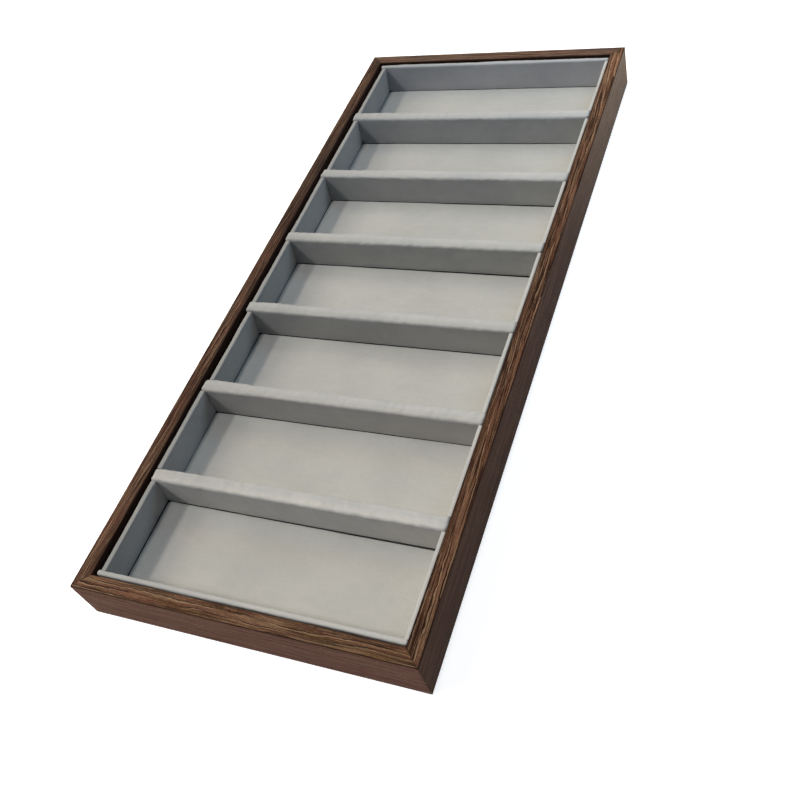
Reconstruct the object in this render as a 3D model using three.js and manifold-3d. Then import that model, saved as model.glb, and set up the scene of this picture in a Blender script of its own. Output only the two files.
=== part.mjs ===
// Glasses storage tray: an open wood frame with mitred corners that holds a loose liner.
// The liner has a row of pockets, parted by padded dividers, all covered in velvet.
// Millimetres. +X runs right across the tray, +Y away along it and +Z up.
// The origin is the middle of the underside of the frame.

import * as THREE from 'three';
import { mergeVertices } from 'three/addons/utils/BufferGeometryUtils.js';
import Module from 'manifold-3d';

const wasm = await Module();
wasm.setup();

// Pockets
const POCKET_COUNT = 7;
const POCKET_WIDTH = 57.3;            // clear between two dividers, along the tray
const END_POCKET_EXTRA = 0.85;        // the first and the last pocket are this much wider
const POCKET_REACH = 175;             // clear between the side strips' feet, across the tray
const POCKET_DEPTH = 22;              // from the floor pad up to the liner's top

// Liner walls
const DIVIDER_THICKNESS = 8.4;
const DIVIDER_TOP_RADIUS = 1.8;
const DIVIDER_END_RADIUS = 1.4;
const END_WALL_THICKNESS = 3.4;
const END_WALL_TOP_RADIUS = 1.4;
const END_WALL_END_RADIUS = 1;
const WALL_INSET = 1.2;               // from the board's left edge to the walls' left ends
const COVER_THICKNESS = 0.6;          // velvet and its backing, round a wall's core
const CORE_CLEARANCE = 0.3;           // between a core and its cover

// Side strips
const STRIP_THICKNESS = 3.2;
const STRIP_TOP_RADIUS = 0.7;
const STRIP_END_RADIUS = 0.4;
const STRIP_END_CLEARANCE = 0.3;      // between a strip's end and the wall beside it
const STRIP_DROP = 1;                 // from the liner's top down to the strips' tops
const STRIP_LEAN = 2.2;               // how far the left strips' tops lean in over their feet

// Liner floor
const LINER_BOARD_THICKNESS = 2;
const PAD_THICKNESS = 0.6;
const PAD_MARGIN = 0.5;               // between a floor pad and the walls round it
const PAD_CORNER_RADIUS = 1.5;

// Frame
const RAIL_WIDTH = 9;
const RABBET_DEPTH = 4.5;             // step under the rail's inner edge, for the base
const OUTER_EASE = 0.8;               // rounding of the rail's upper outer edge
const INNER_EASE = 0.5;
const FOOT_EASE = 0.4;
const SPLINE_WIDTH = 4.4;             // tongue across a mitre
const SPLINE_THICKNESS = 1.6;
const SPLINE_CLEARANCE = 0.3;
const SPLINE_COVER_ABOVE = 5;         // wood left over the tongue's slot
const SPLINE_COVER_BELOW = 3.5;

// Base
const BASE_THICKNESS = 3;
const BASE_CLEARANCE = 0.3;           // between the base and the rabbet's wall
const FELT_THICKNESS = 0.6;
const FELT_RECESS = 0.3;              // the felt lies this far above the tray's underside
const FELT_MARGIN = 1.2;              // from the base's edge in to the felt's edge
const FELT_CORNER_RADIUS = 3;

// Fits between the liner, the frame and glued faces
const PLAY_LEFT = 0.3;
const PLAY_RIGHT = 0.3;
const PLAY_NEAR = 0.6;
const PLAY_FAR = 1.4;
const SEAT_GAP = 0.3;                 // liner board over the base
const GLUE_LINE = 0.1;
const LINER_RECESS = 1;               // liner's top below the frame's top
const OVERRUN = 2;                    // how far a cut runs past the face that it opens

// Steps of the round stretches
const ARC_STEPS = 3;
const BEVEL_STEPS = 2;
const ROUND_LIMIT_SHARE = 0.95;       // a top's rounding takes at most this share of half the wall

// Lengths that follow
const pocketPitch = POCKET_WIDTH + DIVIDER_THICKNESS;
const dividerCount = POCKET_COUNT - 1;
const linerLength = POCKET_COUNT * POCKET_WIDTH + dividerCount * DIVIDER_THICKNESS
  + 2 * (END_POCKET_EXTRA + END_WALL_THICKNESS);
const linerWidth = POCKET_REACH + 2 * STRIP_THICKNESS;
const wallLength = linerWidth - WALL_INSET;
const openingLength = linerLength + PLAY_NEAR + PLAY_FAR;
const openingWidth = linerWidth + PLAY_LEFT + PLAY_RIGHT;
const frameLength = openingLength + 2 * RAIL_WIDTH;
const frameWidth = openingWidth + 2 * RAIL_WIDTH;

// Heights that follow
const feltUnderside = FELT_RECESS;
const baseUnderside = feltUnderside + FELT_THICKNESS + GLUE_LINE;
const baseTop = baseUnderside + BASE_THICKNESS;
const rabbetHeight = baseTop + GLUE_LINE;
const boardUnderside = baseTop + SEAT_GAP;
const boardTop = boardUnderside + LINER_BOARD_THICKNESS;
const wallFoot = boardTop + GLUE_LINE;
const padTop = wallFoot + PAD_THICKNESS;
const wallHeight = PAD_THICKNESS + POCKET_DEPTH;
const stripHeight = wallHeight - STRIP_DROP;
const linerTop = padTop + POCKET_DEPTH;
const frameHeight = linerTop + LINER_RECESS;

// Places that follow
const linerLeft = PLAY_LEFT - openingWidth / 2;
const linerRight = linerLeft + linerWidth;
const pocketMiddle = (linerLeft + linerRight) / 2;
const wallMiddle = linerRight - wallLength / 2;
const leftStripMiddle = linerLeft + STRIP_THICKNESS / 2;
const rightStripMiddle = linerRight - STRIP_THICKNESS / 2;
const linerNear = PLAY_NEAR - openingLength / 2;
const linerFar = linerNear + linerLength;
const linerMiddle = (linerNear + linerFar) / 2;
const firstDivider = linerNear + END_WALL_THICKNESS + END_POCKET_EXTRA + POCKET_WIDTH
  + DIVIDER_THICKNESS / 2;

const RIGHT_ANGLE = Math.PI / 2;
const MITRE_ANGLE = Math.PI / 4;

// Turns an outline's extrusion to run along X, with the outline's own X to +Y and its Y up.
const ALONG_X = new THREE.Matrix4().makeBasis(
  new THREE.Vector3(0, 1, 0),
  new THREE.Vector3(0, 0, 1),
  new THREE.Vector3(1, 0, 0),
);

const finishes = {
  rail: { color: 0x5b4133, roughness: 0.62, metalness: 0 },
  spline: { color: 0xb08a5c, roughness: 0.8, metalness: 0 },
  base: { color: 0x8d7558, roughness: 0.85, metalness: 0 },
  felt: { color: 0x2e2b2a, roughness: 0.97, metalness: 0 },
  board: { color: 0x302e2c, roughness: 0.9, metalness: 0 },
  core: { color: 0xa98e6b, roughness: 0.85, metalness: 0 },
  velvet: { color: 0xb3b1ab, roughness: 0.95, metalness: 0 },
  pad: { color: 0xaba8a1, roughness: 0.95, metalness: 0 },
};

/* Makes a named mesh with a material of its own, at its place. */
function piece(name, geometry, finish, place, turn = 0) {
  const mesh = new THREE.Mesh(geometry, new THREE.MeshStandardMaterial(finishes[finish]));
  mesh.name = name;
  mesh.position.set(...place);
  mesh.rotation.z = turn;
  return mesh;
}

/* Turns a closed geometry into a solid for cutting. */
function toSolid(geometry) {
  const bare = new THREE.BufferGeometry();
  bare.setAttribute('position', geometry.getAttribute('position').clone());
  if (geometry.index) bare.setIndex(geometry.index.clone());
  const merged = mergeVertices(bare);
  return new wasm.Manifold(new wasm.Mesh({
    numProp: 3,
    vertProperties: new Float32Array(merged.getAttribute('position').array),
    triVerts: new Uint32Array(merged.index.array),
  }));
}

/* Turns a cut solid back into a geometry. */
function toGeometry(solid) {
  const mesh = solid.getMesh();
  const geometry = new THREE.BufferGeometry();
  geometry.setAttribute('position', new THREE.BufferAttribute(mesh.vertProperties, mesh.numProp));
  geometry.setIndex(new THREE.BufferAttribute(mesh.triVerts, 1));
  geometry.computeVertexNormals();
  return geometry;
}

/* A bar along X with a rounded top and rounded ends. It stands on z = 0 and runs on below by drop. */
function roundTopBar(length, thickness, height, topRadius, endRadius, drop) {
  const half = thickness / 2;
  const radius = Math.min(topRadius, half * ROUND_LIMIT_SHARE);
  const outline = new THREE.Shape();
  outline.moveTo(-half, -drop);
  outline.lineTo(half, -drop);
  outline.absarc(half - radius, height - radius, radius, 0, RIGHT_ANGLE, false);
  outline.absarc(radius - half, height - radius, radius, RIGHT_ANGLE, 2 * RIGHT_ANGLE, false);
  outline.closePath();
  const geometry = new THREE.ExtrudeGeometry(outline, {
    depth: length - 2 * endRadius,
    curveSegments: ARC_STEPS,
    bevelEnabled: endRadius > 0,
    bevelThickness: endRadius,
    bevelSize: endRadius,
    bevelOffset: -endRadius,
    bevelSegments: BEVEL_STEPS,
  });
  geometry.translate(0, 0, endRadius - length / 2);
  return geometry.applyMatrix4(ALONG_X);
}

/* The same bar cut flat at z = 0, so that its rounded ends reach its foot at full size. */
function standingBar(length, thickness, height, topRadius, endRadius) {
  const bar = toSolid(roundTopBar(length, thickness, height, topRadius, endRadius, OVERRUN));
  const below = new THREE.BoxGeometry(length + OVERRUN, thickness + OVERRUN, 2 * OVERRUN);
  below.translate(0, 0, -OVERRUN);
  return bar.subtract(toSolid(below));
}

/* Leans a shape that stands on z = 0 over towards its own -Y, by lean at the given height. */
function leaned(geometry, lean, height) {
  return geometry.applyMatrix4(new THREE.Matrix4().set(
    1, 0, 0, 0,
    0, 1, -lean / height, 0,
    0, 0, 1, 0,
    0, 0, 0, 1,
  ));
}

/* The board inside a padded wall, smaller than the wall by its cover and their clearance. */
function wallCore(thickness, topRadius) {
  const skin = COVER_THICKNESS + CORE_CLEARANCE;
  return roundTopBar(
    wallLength - 2 * skin,
    thickness - 2 * skin,
    wallHeight - skin,
    topRadius - skin,
    0,
    0,
  );
}

/* The velvet cover of a padded wall: the wall's outer form with a hollow for its core. */
function wallCover(thickness, topRadius, endRadius) {
  const outer = standingBar(wallLength, thickness, wallHeight, topRadius, endRadius);
  const hollow = roundTopBar(
    wallLength - 2 * COVER_THICKNESS,
    thickness - 2 * COVER_THICKNESS,
    wallHeight - COVER_THICKNESS,
    topRadius - COVER_THICKNESS,
    0,
    OVERRUN,
  );
  return toGeometry(outer.subtract(toSolid(hollow)));
}

/* A flat sheet with rounded corners, from z = 0 up. */
function roundedSheet(sizeX, sizeY, thickness, radius) {
  const x = sizeX / 2 - radius;
  const y = sizeY / 2 - radius;
  const outline = new THREE.Shape();
  outline.absarc(x, y, radius, 0, RIGHT_ANGLE, false);
  outline.absarc(-x, y, radius, RIGHT_ANGLE, 2 * RIGHT_ANGLE, false);
  outline.absarc(-x, -y, radius, 2 * RIGHT_ANGLE, 3 * RIGHT_ANGLE, false);
  outline.absarc(x, -y, radius, 3 * RIGHT_ANGLE, 4 * RIGHT_ANGLE, false);
  outline.closePath();
  return new THREE.ExtrudeGeometry(outline, {
    depth: thickness,
    curveSegments: ARC_STEPS,
    bevelEnabled: false,
  });
}

/* A rail's section: its own X runs from the outer face inwards, its Y up from the underside. */
function railSection() {
  const shelf = RAIL_WIDTH - RABBET_DEPTH;
  const section = new THREE.Shape();
  section.moveTo(FOOT_EASE, 0);
  section.lineTo(shelf, 0);
  section.lineTo(shelf, rabbetHeight);
  section.lineTo(RAIL_WIDTH, rabbetHeight);
  section.absarc(RAIL_WIDTH - INNER_EASE, frameHeight - INNER_EASE, INNER_EASE, 0, RIGHT_ANGLE, false);
  section.absarc(OUTER_EASE, frameHeight - OUTER_EASE, OUTER_EASE, RIGHT_ANGLE, 2 * RIGHT_ANGLE, false);
  section.lineTo(0, FOOT_EASE);
  section.closePath();
  return section;
}

/* The slot or the tongue at a mitre. Its long side crosses the joint and grow widens it all round. */
function mitreTongue(grow) {
  const bottom = rabbetHeight + SPLINE_COVER_BELOW;
  const top = frameHeight - SPLINE_COVER_ABOVE;
  const geometry = new THREE.BoxGeometry(
    SPLINE_WIDTH + 2 * grow,
    SPLINE_THICKNESS + 2 * grow,
    top - bottom + 2 * grow,
  );
  return geometry.translate(0, 0, (top + bottom) / 2);
}

/* A rail along X with its outer face on y = 0. Its ends are mitred and slotted for the tongues. */
function mitredRail(length) {
  const blank = new THREE.ExtrudeGeometry(railSection(), {
    depth: length,
    curveSegments: ARC_STEPS,
    bevelEnabled: false,
  });
  blank.translate(0, 0, -length / 2);
  const points = blank.getAttribute('position');
  for (let i = 0; i < points.count; i += 1) {
    const inward = points.getX(i) + GLUE_LINE / 2;
    points.setZ(i, points.getZ(i) - Math.sign(points.getZ(i)) * inward);
  }
  let rail = toSolid(blank.applyMatrix4(ALONG_X));
  for (const side of [-1, 1]) {
    const slot = mitreTongue(SPLINE_CLEARANCE);
    slot.rotateZ(side * MITRE_ANGLE);
    slot.translate(side * (length / 2 - RAIL_WIDTH / 2), RAIL_WIDTH / 2, 0);
    rail = rail.subtract(toSolid(slot));
  }
  return toGeometry(rail);
}

/* The four rails, the tongues in their mitres, the base and the felt under it. */
function buildFrame() {
  const frame = new THREE.Group();
  const halfWidth = frameWidth / 2;
  const halfLength = frameLength / 2;
  const rails = [
    ['rail_near', frameWidth, [0, -halfLength, 0], 0],
    ['rail_right', frameLength, [halfWidth, 0, 0], RIGHT_ANGLE],
    ['rail_far', frameWidth, [0, halfLength, 0], 2 * RIGHT_ANGLE],
    ['rail_left', frameLength, [-halfWidth, 0, 0], 3 * RIGHT_ANGLE],
  ];
  for (const [name, length, place, turn] of rails) {
    frame.add(piece(name, mitredRail(length), 'rail', place, turn));
  }
  for (const [end, alongSide] of [['near', -1], ['far', 1]]) {
    for (const [hand, acrossSide] of [['left', -1], ['right', 1]]) {
      const x = acrossSide * (halfWidth - RAIL_WIDTH / 2);
      const y = alongSide * (halfLength - RAIL_WIDTH / 2);
      const turn = -acrossSide * alongSide * MITRE_ANGLE;
      frame.add(piece(`mitre_spline_${end}_${hand}`, mitreTongue(0), 'spline', [x, y, 0], turn));
    }
  }
  const baseWidth = openingWidth + 2 * (RABBET_DEPTH - BASE_CLEARANCE);
  const baseLength = openingLength + 2 * (RABBET_DEPTH - BASE_CLEARANCE);
  const base = new THREE.BoxGeometry(baseWidth, baseLength, BASE_THICKNESS);
  frame.add(piece('base_panel', base, 'base', [0, 0, baseUnderside + BASE_THICKNESS / 2]));
  const felt = roundedSheet(
    baseWidth - 2 * FELT_MARGIN,
    baseLength - 2 * FELT_MARGIN,
    FELT_THICKNESS,
    FELT_CORNER_RADIUS,
  );
  frame.add(piece('underside_felt', felt, 'felt', [0, 0, feltUnderside]));
  return frame;
}

/* A padded wall across the liner: its core and its cover, both on the liner's board. */
function addWall(liner, coreName, coverName, thickness, topRadius, endRadius, y) {
  const place = [wallMiddle, y, wallFoot];
  liner.add(piece(coreName, wallCore(thickness, topRadius), 'core', place));
  liner.add(piece(coverName, wallCover(thickness, topRadius, endRadius), 'velvet', place));
}

/* The middle of a divider along the tray, counted from 0 at the near end. */
function dividerPlace(i) {
  return firstDivider + i * pocketPitch;
}

/* Where a pocket starts and ends along the tray, counted from 0 at the near end. */
function pocketSpan(i) {
  const nearEnd = linerNear + END_WALL_THICKNESS;
  const farEnd = linerFar - END_WALL_THICKNESS;
  const start = i === 0 ? nearEnd : dividerPlace(i - 1) + DIVIDER_THICKNESS / 2;
  const end = i === dividerCount ? farEnd : dividerPlace(i) - DIVIDER_THICKNESS / 2;
  return [start, end];
}

/* The liner: its board, the floor pads, the end walls, the dividers and the side strips. */
function buildLiner() {
  const liner = new THREE.Group();
  const board = new THREE.BoxGeometry(linerWidth, linerLength, LINER_BOARD_THICKNESS);
  const boardHeight = boardUnderside + LINER_BOARD_THICKNESS / 2;
  liner.add(piece('liner_board', board, 'board', [pocketMiddle, linerMiddle, boardHeight]));

  const endWalls = [
    ['near', linerNear + END_WALL_THICKNESS / 2],
    ['far', linerFar - END_WALL_THICKNESS / 2],
  ];
  for (const [end, y] of endWalls) {
    addWall(liner, `end_wall_core_${end}`, `end_wall_cover_${end}`,
      END_WALL_THICKNESS, END_WALL_TOP_RADIUS, END_WALL_END_RADIUS, y);
  }
  for (let i = 0; i < dividerCount; i += 1) {
    addWall(liner, `divider_core_${i + 1}`, `divider_cover_${i + 1}`,
      DIVIDER_THICKNESS, DIVIDER_TOP_RADIUS, DIVIDER_END_RADIUS, dividerPlace(i));
  }

  const hands = [['left', leftStripMiddle, STRIP_LEAN], ['right', rightStripMiddle, 0]];
  for (let i = 0; i < POCKET_COUNT; i += 1) {
    const [start, end] = pocketSpan(i);
    const y = (start + end) / 2;
    const pad = roundedSheet(
      POCKET_REACH - 2 * PAD_MARGIN,
      end - start - 2 * PAD_MARGIN,
      PAD_THICKNESS,
      PAD_CORNER_RADIUS,
    );
    liner.add(piece(`floor_pad_${i + 1}`, pad, 'pad', [pocketMiddle, y, wallFoot]));
    for (const [hand, x, lean] of hands) {
      const bar = toGeometry(standingBar(
        end - start - 2 * STRIP_END_CLEARANCE,
        STRIP_THICKNESS,
        stripHeight,
        STRIP_TOP_RADIUS,
        STRIP_END_RADIUS,
      ));
      const strip = leaned(bar, lean, stripHeight);
      liner.add(piece(`side_strip_${hand}_${i + 1}`, strip, 'velvet', [x, y, wallFoot], RIGHT_ANGLE));
    }
  }
  return liner;
}

const tray = new THREE.Group();
tray.add(buildFrame(), buildLiner());

export default tray;
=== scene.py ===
"""Looks of a glasses storage tray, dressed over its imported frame.

The tray is a low wood frame with mitred corners. A loose liner lies in it: a board that carries
padded dividers, end walls, side strips and floor pads, all covered in velvet.
Lengths are metres. +X runs right across the tray, +Y away along it and +Z up.
"""

import logging
import math
from collections.abc import Callable, Sequence
from dataclasses import dataclass, field, replace
from enum import Enum

import bmesh
import bpy
import numpy as np
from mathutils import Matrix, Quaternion, Vector
from mathutils.geometry import tessellate_polygon


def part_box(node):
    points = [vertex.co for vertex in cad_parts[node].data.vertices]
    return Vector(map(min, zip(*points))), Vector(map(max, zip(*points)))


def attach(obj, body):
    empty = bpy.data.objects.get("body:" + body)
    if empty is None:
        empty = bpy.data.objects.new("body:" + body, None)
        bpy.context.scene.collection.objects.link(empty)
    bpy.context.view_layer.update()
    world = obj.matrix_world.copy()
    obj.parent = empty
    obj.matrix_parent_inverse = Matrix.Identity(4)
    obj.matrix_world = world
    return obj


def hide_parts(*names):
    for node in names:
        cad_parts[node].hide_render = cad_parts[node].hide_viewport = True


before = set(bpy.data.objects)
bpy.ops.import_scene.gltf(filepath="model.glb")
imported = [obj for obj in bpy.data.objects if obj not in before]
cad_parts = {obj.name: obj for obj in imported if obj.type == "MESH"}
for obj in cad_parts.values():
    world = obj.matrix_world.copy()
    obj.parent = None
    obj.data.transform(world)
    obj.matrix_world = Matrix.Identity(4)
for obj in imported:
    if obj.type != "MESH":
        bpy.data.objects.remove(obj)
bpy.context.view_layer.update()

LOG = logging.getLogger("tray")
MM = 0.001
QUARTER_TURN = math.pi / 2
ORIGIN = (0.0, 0.0, 0.0)
WHITE = (1.0, 1.0, 1.0)
POCKET_COUNT = 7
DIVIDER_COUNT = POCKET_COUNT - 1
GRAIN_MAP = "grain"
SHARP_ANGLE = math.radians(38)
TINY = 1e-9

# Points nearer than this are merged where a mesh's seams meet.
WELD = 0.002 * MM

# How far below a card's top its velvet ends on the back, and how softly it gives way to paper.
HEM = 0.9 * MM
HEM_EDGE = 0.3 * MM

# How far below a card's top its painted crest shading is in full, as a share of the top's rounding.
CREST_DEPTH = 0.3

# Where the seeds of each kind of piece start, and how far apart those of neighbours lie.
RAIL_SEED = 40
WALL_SEED = 100
WALL_SEED_STEP = 10
STRIP_SEED = 300
STRIP_SEED_STEP = 20
PAD_SEED = 500

Colour = tuple[float, float, float]
Point = tuple[float, float, float]
Span = tuple[float, float]
Marks = dict[str, np.ndarray]
Reshape = Callable[[np.ndarray], np.ndarray]
Material = bpy.types.Material
Piece = bpy.types.Object
Node = bpy.types.Node
Socket = bpy.types.NodeSocket
Tree = bpy.types.NodeTree


class Body(Enum):
    """The two bodies that the pieces ride on."""

    FRAME = "frame"
    LINER = "liner"


class Slot(Enum):
    """The record's material slots, one given for each new piece."""

    RAIL = "rail_wood"
    BASE = "base_board"
    FELT = "felt"
    LINER_BOARD = "liner_board"
    VELVET = "velvet"
    FLOOR_VELVET = "floor_velvet"


class End(Enum):
    """The tray's two short sides."""

    NEAR = "near"
    FAR = "far"


class Hand(Enum):
    """The tray's two long sides."""

    LEFT = "left"
    RIGHT = "right"

    @property
    def outward(self) -> int:
        """The way that the side faces along X: -1 for the left one and 1 for the right one."""
        return 1 if self is Hand.RIGHT else -1


class RailSide(Enum):
    """The four rails, each with its number of quarter turns from the near one."""

    NEAR = 0
    RIGHT = 1
    FAR = 2
    LEFT = 3

    @property
    def node(self) -> str:
        """The rail's node."""
        return f"rail_{self.name.lower()}"


# Forms: curves, unevenness, grids of points and closed meshes.


def unit(vector: np.ndarray) -> np.ndarray:
    """Vectors along the last axis, each divided by its own length."""
    return vector / np.maximum(np.linalg.norm(vector, axis=-1, keepdims=True), TINY)


def smooth(value: np.ndarray, low: float, high: float) -> np.ndarray:
    """Rises from 0 at low to 1 at high, as 3 t squared less 2 t cubed."""
    t = np.clip((value - low) / (high - low), 0.0, 1.0)
    return t * t * (3.0 - 2.0 * t)


def bell(value: np.ndarray, width: float) -> np.ndarray:
    """Falls from 1 at 0 to both sides, as e to the power of less the square of value over width."""
    return np.exp(-((value / width) ** 2))


def paper_back(out: np.ndarray, down: np.ndarray, face: float) -> np.ndarray:
    """Where a covered card shows the paper on its back: a step outwards times a step down.

    Args:
        out: How far each point lies outwards from the card's middle.
        down: How far it lies below the card's top.
        face: How far out the back lies.

    Returns:
        1 on the paper and 0 on the velvet.
    """
    return smooth(out, face - HEM_EDGE, face - TINY) * smooth(down, HEM, HEM + HEM_EDGE)


def distances(path: np.ndarray) -> np.ndarray:
    """The distance of each point of a path from its start, measured along it."""
    steps = np.linalg.norm(np.diff(path, axis=0), axis=1)
    return np.concatenate([[0.0], np.cumsum(steps)])


def rounded_path(corners: Sequence[Span], radii: Sequence[float], arc_points: int) -> np.ndarray:
    """A path with its inner corners rounded.

    Each arc's centre lies on the corner's bisector, at the radius over the sine of half the angle.
    Its points swing from one touching point to the other: with the arc's angle a and a share t,
    a point is sin((1 - t) a) of the first arm plus sin(t a) of the second, over sin(a).

    Args:
        corners: The path's corners, its two ends among them.
        radii: A radius for each corner but the ends, where 0 leaves it sharp.
        arc_points: The number of points in each arc.

    Returns:
        The points of the path, one row each.
    """
    points = np.array(corners, float)
    stretches = [points[:1]]
    for before, corner, after, radius in zip(points[:-2], points[1:-1], points[2:], radii):
        if radius <= 0:
            stretches.append(corner[None])
            continue
        arm_in = unit(before - corner)
        arm_out = unit(after - corner)
        half = math.acos(float(np.dot(arm_in, arm_out))) / 2
        centre = corner + unit(arm_in + arm_out) * radius / math.sin(half)
        first = corner + arm_in * radius / math.tan(half) - centre
        last = corner + arm_out * radius / math.tan(half) - centre
        angle = math.pi - 2 * half
        share = np.linspace(0.0, 1.0, arc_points)[:, None]
        swing = np.sin((1 - share) * angle) * first + np.sin(share * angle) * last
        stretches.append(centre + swing / math.sin(angle))
    stretches.append(points[-1:])
    return np.concatenate(stretches)


def spaced(path: np.ndarray, step: float) -> np.ndarray:
    """Adds points to a path, evenly between each two neighbours that lie too far apart.

    Args:
        path: The points of the path, one row each.
        step: Largest distance between neighbours.

    Returns:
        The points of the longer list.
    """
    along = distances(path)
    keep = np.concatenate([[True], np.diff(along) > TINY])
    along = along[keep]
    counts = np.maximum(1, np.ceil(np.diff(along) / step)).astype(int)
    parts = [np.linspace(a, b, n, endpoint=False) for a, b, n in zip(along[:-1], along[1:], counts)]
    places = np.concatenate([*parts, along[-1:]])
    return np.stack([np.interp(places, along, path[keep, axis]) for axis in range(2)], axis=1)


def turned(points: np.ndarray, angle: float, place: Point) -> np.ndarray:
    """Points turned about Z and then moved: X is x cos less y sin, and Y is x sin plus y cos.

    Args:
        points: The points, with 3 numbers each on the last axis.
        angle: The turn, from +X towards +Y.
        place: Where the middle of the turn goes.

    Returns:
        The points in their place.
    """
    cos, sin = math.cos(angle), math.sin(angle)
    spin = np.array([[cos, sin, 0.0], [-sin, cos, 0.0], [0.0, 0.0, 1.0]])
    return points @ spin + np.array(place)


@dataclass(frozen=True)
class Ripple:
    """Soft unevenness: a sum of cosine waves through space, with seeded headings and phases.

    Attributes:
        seed: Start of the random draws.
        wavelength: Middle wavelength of the waves.
        height: Usual height of the sum.
        waves: Number of waves.
        spread: Shortest and longest wave, as shares of the middle one.
    """

    seed: int
    wavelength: float
    height: float
    waves: int = 11
    spread: Span = (0.6, 1.7)

    def at(self, points: np.ndarray) -> np.ndarray:
        """The unevenness at each place: the waves' sum over the root of half their number.

        Args:
            points: The places, with 3 numbers each on the last axis.

        Returns:
            A height for each place.
        """
        rng = np.random.default_rng(self.seed)
        headings = unit(rng.normal(size=(self.waves, 3)))
        phases = rng.uniform(0.0, 2 * math.pi, self.waves)
        pace = 2 * math.pi / (self.wavelength * rng.uniform(*self.spread, self.waves))
        waves = np.cos(points @ (headings * pace[:, None]).T + phases)
        return self.height * waves.sum(axis=-1) / math.sqrt(self.waves / 2)


@dataclass(frozen=True)
class Lumps:
    """A piece's unevenness: slow ripples and quicker, lower ones.

    Attributes:
        height: Height of the slow ripples.
        slow: Their wavelength.
        quick: Wavelength of the quicker ones.
        share: Height of those, as a share of the slow ones.
        apart: How far the two seeds lie apart.
    """

    height: float
    slow: float
    quick: float
    share: float
    apart: int = 1

    def ripples(self, seed: int) -> tuple[Ripple, Ripple]:
        """Both ripples, the quick ones from a seed of their own."""
        quick = Ripple(seed + self.apart, self.quick, self.height * self.share)
        return Ripple(seed, self.slow, self.height), quick


@dataclass
class Grid:
    """Points in rows along a piece and columns across it.

    Attributes:
        points: The places, as rows by columns by 3.
        grain: The distances along and across the surface, as rows by columns by 2.
        normals: The outward directions, as rows by columns by 3.
    """

    points: np.ndarray
    grain: np.ndarray
    normals: np.ndarray

    def lifted(self, height: np.ndarray) -> "Grid":
        """The grid with each point moved outwards by its own height."""
        return replace(self, points=self.points + self.normals * height[..., None])

    def placed(self, angle: float, place: Point) -> "Grid":
        """The grid turned about Z and moved."""
        points = turned(self.points, angle, place)
        return replace(self, points=points, normals=turned(self.normals, angle, ORIGIN))


def cell_corners(values: np.ndarray) -> np.ndarray:
    """The values at the four corners of each cell of a grid.

    Args:
        values: The grid's values, as rows by columns and any more axes.

    Returns:
        A row for each cell, with its corners in turn.
    """
    corners = [values[:-1, :-1], values[1:, :-1], values[1:, 1:], values[:-1, 1:]]
    stacked = np.stack(corners, axis=2)
    return stacked.reshape(-1, *stacked.shape[2:])


def close_seams(mesh: bpy.types.Mesh) -> None:
    """Merges the points that meet at seams and turns the closed shell's faces outwards.

    Args:
        mesh: The mesh, which is changed in place.
    """
    work = bmesh.new()
    work.from_mesh(mesh)
    bmesh.ops.remove_doubles(work, verts=work.verts, dist=WELD)
    bmesh.ops.dissolve_degenerate(work, edges=work.edges, dist=WELD)
    bmesh.ops.recalc_face_normals(work, faces=work.faces)
    work.to_mesh(mesh)
    work.free()


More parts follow.
